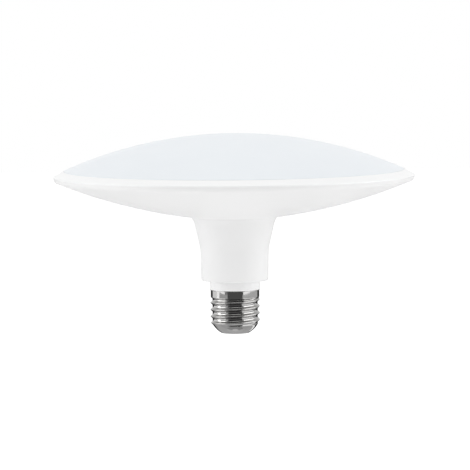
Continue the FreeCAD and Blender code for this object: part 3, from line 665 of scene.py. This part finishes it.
package_white = finish(
    "LED package", "moulded", 0.02, 0.01, {"IOR": 1.5},
    Colour=(0.83, 0.83, 0.81), Shade=(0.78, 0.78, 0.75), Smooth=0.35, Rough=0.5,
)
phosphor = finish(
    "LED phosphor", "speckled", 0.05, 0.01, {"IOR": 1.45},
    Colour=(0.85, 0.66, 0.12), Speck=(0.9, 0.78, 0.3), Amount=0.6, Speck_Scale=6000.0,
    Smooth=0.25, Rough=0.4,
)
screw_zinc = finish(
    "Zinc plate", "rolled", 0.08, 0.01, {"Metallic": 1.0},
    Colour=(0.55, 0.56, 0.58), Tarnish=(0.42, 0.42, 0.44), Smooth=0.2, Rough=0.38,
)
socket_nylon = finish(
    "Ivory nylon", "moulded", 0.06, 0.02, {"IOR": 1.53},
    Colour=(0.76, 0.73, 0.62), Shade=(0.7, 0.67, 0.56), Smooth=0.4, Rough=0.52,
)
sleeve = finish(
    "Capacitor sleeve", "moulded", 0.04, 0.01, {"IOR": 1.5},
    Colour=(0.012, 0.013, 0.02), Shade=(0.02, 0.02, 0.03), Smooth=0.18, Rough=0.3,
)
ferrite = finish(
    "Sintered ferrite", "speckled", 0.15, 0.02, {"IOR": 1.8},
    Colour=(0.02, 0.02, 0.022), Speck=(0.05, 0.05, 0.055), Amount=0.7, Speck_Scale=2500.0,
    Smooth=0.45, Rough=0.62,
)
winding_tape = finish(
    "Winding tape", "moulded", 0.06, 0.01, {"IOR": 1.5},
    Colour=(0.7, 0.42, 0.02), Shade=(0.6, 0.34, 0.015), Smooth=0.2, Rough=0.32,
)
film_case = finish(
    "Film capacitor case", "moulded", 0.06, 0.02, {"IOR": 1.5},
    Colour=(0.5, 0.09, 0.012), Shade=(0.42, 0.07, 0.01), Smooth=0.3, Rough=0.42,
)
chip_black = finish(
    "Package epoxy", "speckled", 0.1, 0.01, {"IOR": 1.55},
    Colour=(0.014, 0.014, 0.016), Speck=(0.035, 0.035, 0.04), Amount=0.5, Speck_Scale=4000.0,
    Smooth=0.45, Rough=0.6,
)
resistor_coat = finish(
    "Resistor coat", "moulded", 0.08, 0.02, {"IOR": 1.5},
    Colour=(0.08, 0.17, 0.15), Shade=(0.06, 0.13, 0.12), Smooth=0.4, Rough=0.55,
)
varistor_coat = finish(
    "Varistor coat", "moulded", 0.12, 0.03, {"IOR": 1.5},
    Colour=(0.015, 0.04, 0.24), Shade=(0.012, 0.03, 0.18), Smooth=0.2, Rough=0.35,
)
fibre_board = finish(
    "Driver board laminate", "speckled", 0.06, 0.01, {"IOR": 1.5},
    Colour=(0.012, 0.09, 0.03), Speck=(0.02, 0.13, 0.05), Amount=0.6, Speck_Scale=1200.0,
    Smooth=0.25, Rough=0.36,
)


def wire_finish(name, colour):
    """Insulation of a wire, a little darker in places."""
    darker = tuple(c * 0.8 for c in colour)
    return finish(
        name, "moulded", 0.04, 0.01, {"IOR": 1.5}, Colour=colour, Shade=darker,
        Smooth=0.3, Rough=0.42,
    )


# The turned pieces

# Points along the profiles
DOME_STEPS, INNER_DOME_STEPS, BOWL_STEPS, INNER_BOWL_STEPS = 64, 48, 72, 48
CONE_STEPS, WALL_STEPS, WALL_MARGIN = 10, 96, 0.3


def dome_section():
    """Opal dome: upright edge with a soft shoulder, flange, and the same wall inside."""
    sphere = (DOME_RADIUS**2 + DOME_RISE**2) / (2 * DOME_RISE)
    inner_sphere = sphere - DOME_WALL
    apex = DOME_EDGE + DOME_RISE
    bore = DOME_RADIUS - DOME_WALL
    inner_edge = apex - sphere + math.sqrt(inner_sphere**2 - bore**2)
    outside = arc_through((0, apex), (DOME_RADIUS, DOME_EDGE), sphere, False, DOME_STEPS)
    inside = arc_through(
        (bore, inner_edge), (0, apex - DOME_WALL), inner_sphere, True, INNER_DOME_STEPS
    )
    shoulder = soften(
        [
            outside[-3],
            (*outside[-1], 0.15),
            (DOME_RADIUS, FLANGE_TOP, 0.2),
            (FLANGE_RADIUS, FLANGE_TOP, 0.2),
            (FLANGE_RADIUS, RIM_SEAT, 0.15),
            (bore, RIM_SEAT, 0.15),
            inside[1],
        ]
    )
    return outside[:-3] + shoulder + inside[2:]


def ring_section():
    """Front ring: sloping face, short upright edge, and the tongue below."""
    return soften(
        [
            (RING_BORE, RING_TOP, 0.12),
            (RIM_RADIUS, RING_EDGE, 0.5),
            (RIM_RADIUS, RIM_SEAT, 0.12),
            (TONGUE_OUTER, RIM_SEAT),
            (TONGUE_OUTER, RIM_SEAT - TONGUE_DEPTH, 0.15),
            (TONGUE_INNER, RIM_SEAT - TONGUE_DEPTH, 0.15),
            (TONGUE_INNER, FLANGE_TOP + PLAY),
            (RING_BORE, FLANGE_TOP + PLAY, 0.15),
        ]
    )


def housing_section():
    """Housing: spigot, collar, neck, flare, bowl and rim, then back down inside."""
    band_bore = BAND_RADIUS - SHELL_WALL
    groove = RIM_SEAT - TONGUE_DEPTH - PLAY
    foot = (CREASE_RADIUS, CREASE_LEVEL)
    bowl = arc_through(foot, (RIM_RADIUS - RIM_BEVEL, RIM_BOTTOM), BOWL_ARC, True, BOWL_STEPS)
    inner = [
        (across, bowl_inside(across))
        for across, _ in divide((RIM_BORE, 0), (CREASE_RADIUS - NECK_WALL, 0), INNER_BOWL_STEPS)
    ]
    outside = soften(
        [
            (SPIGOT_BORE, SPIGOT_BOTTOM),
            (SPIGOT_RADIUS, SPIGOT_BOTTOM, 0.3),
            (SPIGOT_RADIUS, BAND_BOTTOM + SHELL_WALL),
            (band_bore - PLAY, BAND_BOTTOM + SHELL_WALL, 0.2),
            (band_bore - PLAY, CAP_TOP),
            (COLLAR_RADIUS, CAP_TOP, 0.25),
            (COLLAR_RADIUS, NECK_BOTTOM),
            (NECK_RADIUS, NECK_BOTTOM, 0.8),
            (FLARE_FOOT, FLARE_LEVEL, FLARE_BLEND),
            (FLARE_RADIUS, FLARE_TOP, FLARE_ROUND),
            foot,
        ],
        steps=8,
    )
    rim = soften(
        [
            bowl[-4],
            (RIM_RADIUS, RIM_BOTTOM + 0.05, RIM_ROUND),
            (RIM_RADIUS, RIM_SEAT, 0.12),
            (TONGUE_OUTER + PLAY, RIM_SEAT),
            (TONGUE_OUTER + PLAY, groove),
            (TONGUE_INNER - PLAY, groove),
            (TONGUE_INNER - PLAY, RIM_SEAT),
            (RIM_BORE, RIM_SEAT, 0.3),
        ]
    )
    back = [
        (FLARE_RADIUS - NECK_WALL, FLARE_TOP),
        (FLARE_FOOT - NECK_WALL, FLARE_LEVEL),
        (NECK_RADIUS - NECK_WALL, NECK_BOTTOM + NECK_WALL),
        (SPIGOT_BORE, NECK_BOTTOM + NECK_WALL),
    ]
    return outside + bowl[1:-4] + rim + inner + back


def shell_section():
    """Cap shell: lip, cone, plain wall where the thread is rolled in, and band."""
    inner_root = ROOT_RADIUS - SHELL_WALL
    wall_top = BAND_BOTTOM - BAND_STEP
    low, high = CONE_TOP + WALL_MARGIN, wall_top - WALL_MARGIN
    cone = arc_through(
        (LIP_RADIUS, LIP_LEVEL), (ROOT_RADIUS, CONE_TOP), CONE_ARC, True, CONE_STEPS
    )
    inner_cone = arc_through(
        (LIP_RADIUS - SHEET_SHIFT, LIP_LEVEL + SHELL_WALL),
        (inner_root, CONE_TOP + SHEET_SHIFT),
        CONE_ARC - SHELL_WALL, True, CONE_STEPS,
    )
    outside = soften(
        [
            (MOUTH_RADIUS, LIP_LEVEL),
            (*cone[0], LIP_ROUND),
            *cone[1:-1],
            (*cone[-1], 0.6),
            (ROOT_RADIUS, wall_top),
        ]
    )[:-1]
    outside += divide((ROOT_RADIUS, low), (ROOT_RADIUS, high), WALL_STEPS)
    outside += soften(
        [
            (ROOT_RADIUS, high),
            (ROOT_RADIUS, wall_top, 0.5),
            (BAND_RADIUS, BAND_BOTTOM, 0.5),
            (BAND_RADIUS, CAP_TOP - EDGE_HEIGHT, 0.12),
            (EDGE_RADIUS, CAP_TOP - EDGE_HEIGHT, 0.12),
            (EDGE_RADIUS, CAP_TOP, 0.14),
            (BAND_RADIUS - SHELL_WALL, CAP_TOP),
        ]
    )[1:]
    inside = [
        (BAND_RADIUS - SHELL_WALL, BAND_BOTTOM + SHEET_SHIFT),
        (inner_root, wall_top + SHEET_SHIFT),
    ]
    inside += divide((inner_root, high), (inner_root, low), WALL_STEPS)
    inside += [*inner_cone[::-1], (MOUTH_RADIUS, LIP_LEVEL + SHELL_WALL)]
    return outside + inside


def contact_section():
    """Riveted contact: low domed head with a flat, and its shank."""
    return soften(
        [
            (0, 0),
            (CONTACT_FLAT, 0, 1.2),
            (CONTACT_RADIUS, CONTACT_HEAD - 0.12, 0.15),
            (CONTACT_RADIUS, CONTACT_HEAD),
            (RIVET_RADIUS, CONTACT_HEAD),
            (RIVET_RADIUS, RIVET_TOP, 0.5),
            (0, RIVET_TOP),
        ]
    )


def insulator_section():
    """Insulator between the contact and the shell's lip."""
    seat = LIP_LEVEL + SHELL_WALL
    edge = LIP_RADIUS - SHEET_SHIFT - PLAY
    return soften(
        [
            (RIVET_RADIUS + PLAY, CONTACT_HEAD),
            (MOUTH_RADIUS - PLAY, CONTACT_HEAD, 0.08),
            (MOUTH_RADIUS - PLAY, seat),
            (edge, seat),
            (edge + INSULATOR_TOP - seat, INSULATOR_TOP, 0.05),
            (RIVET_RADIUS + PLAY, INSULATOR_TOP, 0.2),
        ]
    )


dome = turned("opal_dome", dome_section(), opal, closed=False)
front_ring = turned("front_ring_trim", ring_section(), ring_white)
housing = turned("housing_shell", housing_section(), housing_white)
shell = turned(
    "threaded_shell", shell_section(), nickel, tree=rolled_thread, segments=224,
    Sharp_Angle=math.radians(60),
)
contact = turned("contact_rivet", contact_section(), contact_metal, closed=False, segments=96)
insulator = turned("contact_insulator", insulator_section(), black_moulding, segments=96)

for piece, node, slot in (
    (dome, "diffuser", "opal_plastic"),
    (front_ring, "front_ring", "ring_plastic"),
    (housing, "housing", "white_moulding"),
    (shell, "cap_shell", "nickel_plate"),
    (contact, "centre_contact", "contact_metal"),
    (insulator, "cap_insulator", "insulator_plastic"),
):
    stand_for(piece, node)


# Bosses and guide ribs of the housing

# How far the ribs reach into the neck's floor
SINK = 0.2


def boss_section():
    """Screw boss from the bowl's wall up to the tray, with a blind hole."""
    foot = bowl_inside(SCREW_CIRCLE - BOSS_RADIUS) - 0.3
    return soften(
        [
            (0, foot),
            (BOSS_RADIUS, foot),
            (BOSS_RADIUS, TRAY_BOTTOM, 0.25),
            (BOSS_HOLE, TRAY_BOTTOM, 0.2),
            (BOSS_HOLE, TRAY_BOTTOM - BOSS_DEPTH),
            (0, TRAY_BOTTOM - BOSS_DEPTH),
        ]
    )


def guide_ribs():
    """Ribs in the neck on both faces of the driver board, at both of its sides."""
    neck_floor = NECK_BOTTOM + NECK_WALL
    near, far = DRIVER_SIDE - GUIDE_REACH, NECK_RADIUS - NECK_WALL / 2
    face = DRIVER_FACE + PLAY
    form = bmesh.new()
    for side in (1, -1):
        for front in (1, -1):
            across = sorted((side * near, side * far))
            deep = sorted((front * face, front * (face + GUIDE_THICK)))
            low = (across[0], deep[0], neck_floor - SINK)
            high = (across[1], deep[1], neck_floor + GUIDE_HEIGHT)
            block(form, Vector(low) * MM, Vector(high) * MM)
    round_edges(form, 0.15, 2)
    mesh = written(form, "guide_ribs")
    mesh.materials.append(housing_white)
    return new_object("guide_ribs", mesh)


bosses = turned("screw_bosses", boss_section(), housing_white, closed=False, segments=64)
bosses = regrow(
    bosses, ring_of_pieces, housing_white, Count=SCREW_COUNT, Radius=SCREW_CIRCLE * MM
)
for piece in (bosses, guide_ribs()):
    stand_for(piece, "housing")


# Packages and screws on the LED board


def screw_section():
    """Pan-head screw: domed head on the board, plain root for the thread, blunt tip."""
    root = SCREW_RADIUS - SCREW_THREAD
    head = soften(
        [
            (0, HEAD_HEIGHT),
            (HEAD_RADIUS * 0.55, HEAD_HEIGHT, 1.5),
            (HEAD_RADIUS, HEAD_HEIGHT * 0.55, 0.5),
            (HEAD_RADIUS, 0, 0.1),
            (SCREW_RADIUS, 0),
            (SCREW_RADIUS, 0.1 - SCREW_NECK),
        ]
    )
    wall = divide((root, -0.1 - SCREW_NECK), (root, SCREW_TIP - SCREW_LENGTH), 72)
    return head + wall + [(0.5, -SCREW_LENGTH), (0, -SCREW_LENGTH)]


screws = turned(
    "cross_head_screws", screw_section(), screw_zinc, closed=False, tree=rolled_thread,
    segments=48, Depth=SCREW_THREAD * MM, Pitch=SCREW_PITCH * MM,
    Start=(SCREW_TIP - SCREW_LENGTH) * MM, Top=-SCREW_NECK * MM, Fade_In=1.0 * MM,
    Fade_Out=0.4 * MM, Sharp_Angle=math.radians(50),
)
screws = regrow(
    screws, cross_recess, screw_zinc,
    Width=0.7 * MM, Length=3.0 * MM, Depth=1.1 * MM, Level=HEAD_HEIGHT * MM,
)
screws = regrow(
    screws, ring_of_pieces, screw_zinc,
    Count=SCREW_COUNT, Radius=SCREW_CIRCLE * MM, Level=BOARD_TOP * MM,
)
stand_for(screws, "board_screws")


def package_mesh():
    """LED package: white block with bevelled edges and a shallow well in its top."""
    form = bmesh.new()
    half = Vector((LED_WIDTH, LED_LENGTH, 0)) * MM / 2
    block(form, -half, half + Vector((0, 0, LED_HEIGHT * MM)))
    round_edges(form, 0.1, 1)
    top = max(form.faces, key=lambda face: face.calc_center_median().z)
    for thickness, depth in ((WELL_EDGE, 0), (WELL_SLOPE, -WELL_DEPTH)):
        bmesh.ops.inset_individual(
            form, faces=[top], thickness=thickness * MM, depth=depth * MM
        )
    return written(form, "package")


def window_mesh():
    """Phosphor that fills the well, a flat block with rounded edges."""
    form = bmesh.new()
    inset = WELL_EDGE + 0.05
    half = Vector((LED_WIDTH / 2 - inset, LED_LENGTH / 2 - inset, 0)) * MM
    low = Vector((0, 0, (LED_HEIGHT - 0.16) * MM))
    block(form, -half + low, half + Vector((0, 0, (LED_HEIGHT - 0.02) * MM)))
    round_edges(form, 0.06, 2)
    return written(form, "window")


for node, count in (("leds_inner", 12), ("leds_middle", 18), ("leds_outer", 24)):
    low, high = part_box(node)
    circle = high[0] - LED_WIDTH / 2 * MM
    for label, mesh, material in (
        ("packages", package_mesh(), package_white), ("windows", window_mesh(), phosphor)
    ):
        ring = grow(
            f"{node}_{label}", mesh, ring_of_pieces,
            Count=count, Radius=circle, Level=low[2], Material=material,
        )
        stand_for(ring, node)


# Round components on the driver board


def upright(node):
    """Foot, radius and length in millimetres of a round component that stands upright."""
    low, high = (Vector(corner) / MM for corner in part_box(node))
    foot = Vector(((low.x + high.x) / 2, (low.y + high.y) / 2, low.z))
    return foot, (high.x - low.x) / 2, high.z - low.z


def sleeve_section(radius, length):
    """Can in its shrunk sleeve: crimp groove near the foot, sleeve turned over the top."""
    return soften(
        [
            (0, 0.3),
            (radius - 0.8, 0.3),
            (radius - 0.8, 0),
            (radius, 0, 0.3),
            (radius, 1.5, 0.2),
            (radius - 0.45, 2.1, 0.3),
            (radius, 2.7, 0.2),
            (radius, length, 0.5),
            (radius - SLEEVE_EDGE, length, 0.1),
            (radius - SLEEVE_EDGE, length - SLEEVE_DROP),
            (0, length - SLEEVE_DROP),
        ]
    )


def vent_section(radius, length):
    """Bare top of the can inside the sleeve's edge."""
    edge = radius - SLEEVE_EDGE - 0.05
    foot = length - SLEEVE_DROP + 0.05
    return [(0, foot), (edge, foot), (edge, length - VENT_DROP), (0, length - VENT_DROP)]


def resistor_section(radius, length):
    """Coated resistor with a cap at each end."""
    waist = radius - 0.2
    return soften(
        [
            (0, 0),
            (radius, 0, 0.6),
            (radius, length * 0.22, 0.2),
            (waist, length * 0.3, 0.3),
            (waist, length * 0.7, 0.3),
            (radius, length * 0.78, 0.2),
            (radius, length, 0.6),
            (0, length),
        ]
    )


for node in ("mains_capacitor", "output_capacitor"):
    foot, radius, length = upright(node)
    can, vent = (
        turned(f"{node}_{label}", section(radius, length), material, closed=False, segments=72)
        for label, section, material in (
            ("can", sleeve_section, sleeve), ("vent", vent_section, aluminium)
        )
    )
    vent = regrow(
        vent, cross_recess, aluminium,
        Width=0.25 * MM, Length=(radius * 2 - 3.4) * MM, Depth=0.1 * MM,
        Level=(length - VENT_DROP) * MM,
    )
    for piece in (can, vent):
        piece.data.transform(Matrix.Translation(foot * MM))
        stand_for(piece, node)

foot, radius, length = upright("fusible_resistor")
resistor = turned(
    "coated_resistor", resistor_section(radius, length), resistor_coat, closed=False,
    segments=64,
)
resistor.data.transform(Matrix.Translation(foot * MM))
stand_for(resistor, "fusible_resistor")


# Moulded packages with rounded edges


def moulded_block(name, node, edge, material):
    """A block that fills the node's box, with its edges rounded."""
    form = bmesh.new()
    block(form, *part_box(node))
    round_edges(form, edge, 3)
    for face in form.faces:
        face.smooth = True
    mesh = written(form, name)
    mesh.set_sharp_from_angle(angle=math.radians(40))
    mesh.materials.append(material)
    return new_object(name, mesh)


for name, node, edge, material, slot in (
    ("socket_body", "wire_socket", 0.3, socket_nylon, "socket_plastic"),
    ("film_capacitor_case", "film_capacitor", 0.5, film_case, "film_case"),
    ("rectifier_package", "bridge_rectifier", 0.12, chip_black, "chip_plastic"),
    ("controller_package", "driver_chip", 0.1, chip_black, "chip_plastic"),
    ("diode_package", "output_diode", 0.12, chip_black, "chip_plastic"),
):
    stand_for(moulded_block(name, node, edge, material), node)


# The nodes that keep their own shapes

node_finishes = {
    "heat_spreader": aluminium,
    "led_board": board_mask,
    "output_wire_positive": wire_finish("Red wire", (0.5, 0.012, 0.01)),
    "output_wire_negative": wire_finish("Black wire", (0.012, 0.012, 0.012)),
    "live_wire": wire_finish("Brown wire", (0.09, 0.03, 0.012)),
    "neutral_wire": wire_finish("Blue wire", (0.01, 0.05, 0.3)),
    "driver_board": fibre_board,
    "transformer_core": ferrite,
    "transformer_winding": winding_tape,
    "varistor": varistor_coat,
}
for node, material in node_finishes.items():
    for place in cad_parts[node].material_slots:
        place.material = material


# Floor, light and camera; lengths are in metres, but for the point that the camera looks at

FLOOR_HALF, FLOOR_LEVEL = 6.0, -0.27
# Level of the cards' lower edges, just above the floor, and the degrees that one face sweeps
GROUND, CARD_STEP = -0.25, 6
# The floor's own light, and what it gets on top where it is seen or mirrored
FLOOR_GLOW, FLOOR_LIFT = 0.185, 0.23
# The world's light on the surfaces; where it is seen it is white
WORLD_FILL = 0.82
LAMP_MIDDLE = (0, 0, 0.06)
CAMERA_AIM = (0.27, 0, 52.7)
CAMERA_DISTANCE, CAMERA_RISE, CAMERA_ROLL, CAMERA_LENS = 1.604, 4.62, -0.5, 230.7


def studio_floor():
    """A square floor that faces up."""
    half = FLOOR_HALF
    corners = [(-half, -half), (half, -half), (half, half), (-half, half)]
    mesh = bpy.data.meshes.new("studio_floor")
    mesh.from_pydata([(*corner, FLOOR_LEVEL) for corner in corners], [], [(0, 1, 2, 3)])
    mesh.materials.append(floor_finish())
    new_object("studio_floor", mesh)


def ray_mask(tree, *kinds):
    """One for light paths of any of these kinds, otherwise zero."""
    path = tree.add("ShaderNodeLightPath")
    first, *others = [path.outputs[f"Is {kind} Ray"] for kind in kinds]
    for other in others:
        first = tree.add("ShaderNodeMath", first, other, operation="MAXIMUM").outputs[0]
    return first


def floor_finish():
    """Pale floor, brought up to white where it is seen; from below it is clear."""
    material = new_material("Studio floor")
    t = Tree(material.node_tree)
    pale = t.add("ShaderNodeBsdfDiffuse", (0.9, 0.9, 0.9, 1))
    seen = ray_mask(t, "Camera", "Glossy")
    lift = t.add("ShaderNodeMath", seen, FLOOR_LIFT, FLOOR_GLOW, operation="MULTIPLY_ADD")
    glow = t.add("ShaderNodeEmission", (1, 1, 1, 1), lift)
    both = t.add("ShaderNodeAddShader", pale, glow)
    clear = t.add("ShaderNodeBsdfTransparent")
    behind = t.add("ShaderNodeNewGeometry").outputs["Backfacing"]
    t.add("ShaderNodeOutputMaterial", t.add("ShaderNodeMixShader", behind, both, clear))
    return material


def card_finish(name, glow):
    """Plain glowing surface of a card."""
    material = new_material(name)
    t = Tree(material.node_tree)
    t.add("ShaderNodeOutputMaterial", t.add("ShaderNodeEmission", (glow, glow, glow, 1), 1.0))
    return material


def studio_card(name, start, stop, near, far, glow, lights=False):
    """A card swept round the lamp between two azimuths, from its near to its far edge.

    Azimuth 0 is the viewer's side and 90 the right; near and far are (distance, level).
    The card shows only in reflections, or only lights the surfaces where lights is true.
    """
    steps = max(2, round((stop - start) / CARD_STEP))
    places = []
    for step in range(steps + 1):
        turn = math.radians(start + (stop - start) * step / steps)
        for distance, level in (near, far):
            places.append((distance * math.sin(turn), -distance * math.cos(turn), level))
    faces = [(2 * i, 2 * i + 1, 2 * i + 3, 2 * i + 2) for i in range(steps)]
    mesh = bpy.data.meshes.new(name)
    mesh.from_pydata(places, [], faces)
    mesh.materials.append(card_finish(name, glow))
    card = new_object(name, mesh)
    card.visible_camera = False
    card.visible_diffuse = lights
    card.visible_glossy = not lights
    card.visible_shadow = False
    card.visible_transmission = False


studio_floor()

# Name, azimuths, near and far edge, glow, and whether the card lights instead of showing
for card in (
    ("front_flag", -42, 42, (1.9, -0.26), (1.9, 1.6), 0.37, True),
    ("front_wall", -30, 36, (2.0, GROUND), (2.0, 1.6), 0.03),
    ("front_ground", -36, 40, (0.12, GROUND), (2.0, GROUND), 0.1),
    ("right_edge_wall", 36, 41, (1.8, GROUND), (1.8, 1.6), 0.12),
    ("right_turn", 41, 45, (1.7, GROUND), (1.7, 1.5), 0.5),
    ("right_wall", 45, 112, (1.6, GROUND), (1.6, 1.4), 2.4),
    ("right_ground", 40, 100, (0.12, GROUND), (0.28, GROUND), 0.5),
    ("right_strip", 36, 132, (0.5, -0.1), (0.5, 0.03), 0.6),
    ("left_edge_wall", -40, -30, (1.8, GROUND), (1.8, 1.6), 0.1),
    ("left_corner", -47, -40, (1.6, GROUND), (1.6, 1.4), 0.32),
    ("left_turn", -55, -47, (1.6, GROUND), (1.6, 1.4), 0.8),
    ("left_wall", -104, -55, (1.6, GROUND), (1.6, 1.4), 2.4),
    ("left_corner_ground", -50, -36, (0.12, GROUND), (2.0, GROUND), 0.28),
    ("left_ground", -100, -50, (0.12, GROUND), (0.33, GROUND), 0.5),
    ("left_strip", -80, -36, (0.5, -0.1), (0.5, 0.03), 0.5),
    ("left_far_strip", -132, -96, (0.5, -0.1), (0.5, 0.03), 1.0),
    ("back_wall", 138, 222, (2.0, GROUND), (2.0, -0.02), 0.04),
    ("back_ground", 100, 260, (0.12, GROUND), (0.36, GROUND), 0.55),
    ("back_middle_ground", 158, 260, (0.36, GROUND), (0.5, GROUND), 0.45),
    ("back_far_ground", 110, 250, (0.5, GROUND), (2.0, GROUND), 0.04),
    ("low_front", -90, 90, (0.04, GROUND), (0.12, GROUND), 0.36),
    ("low_back", 90, 270, (0.04, GROUND), (0.12, GROUND), 0.6),
    ("low_middle", 0, 360, (0.0, GROUND), (0.04, GROUND), 0.7),
):
    studio_card(*card)

world = bpy.data.worlds.new("Studio")
world.use_nodes = True
world.node_tree.nodes.clear()
w = Tree(world.node_tree)
seen = ray_mask(w, "Camera", "Glossy", "Transmission")
level = w.add("ShaderNodeMapRange")
w.feed_named(level, Value=seen, To_Min=WORLD_FILL, To_Max=1.0)
w.add("ShaderNodeOutputWorld", w.add("ShaderNodeBackground", (1, 1, 1, 1), level))
scene.world = world


def soft_light(name, location, size, power):
    """A square light that faces the lamp and stays out of the picture."""
    light = bpy.data.lights.new(name, "AREA")
    light.shape = "SQUARE"
    light.size = size
    light.energy = power
    obj = new_object(name, light)
    obj.location = location
    way = Vector(LAMP_MIDDLE) - Vector(location)
    obj.rotation_euler = way.to_track_quat("-Z", "Y").to_euler()
    obj.visible_camera = False


soft_light("left_light", (-1.5, -0.7, 0.5), 0.9, 5.0)
soft_light("right_light", (1.5, -0.7, 0.5), 0.9, 5.0)
soft_light("top_light", (0, 0.3, 1.6), 1.2, 3.2)
soft_light("front_top_light", (0, -1.1, 1.2), 1.0, 1.8)

camera_lens = bpy.data.cameras.new("photograph_view")
camera_lens.sensor_width = 36.0
camera_lens.lens = CAMERA_LENS
camera = new_object("photograph_view", camera_lens)
aim = Vector(CAMERA_AIM) * MM
rise, roll = math.radians(CAMERA_RISE), math.radians(CAMERA_ROLL)
camera.location = aim + Vector((0, -math.cos(rise), math.sin(rise))) * CAMERA_DISTANCE
level_view = (aim - camera.location).to_track_quat("-Z", "Y").to_matrix()
camera.rotation_euler = (level_view @ Matrix.Rotation(roll, 3, "Z")).to_euler()
scene.camera = camera

scene.view_settings.view_transform = "Standard"
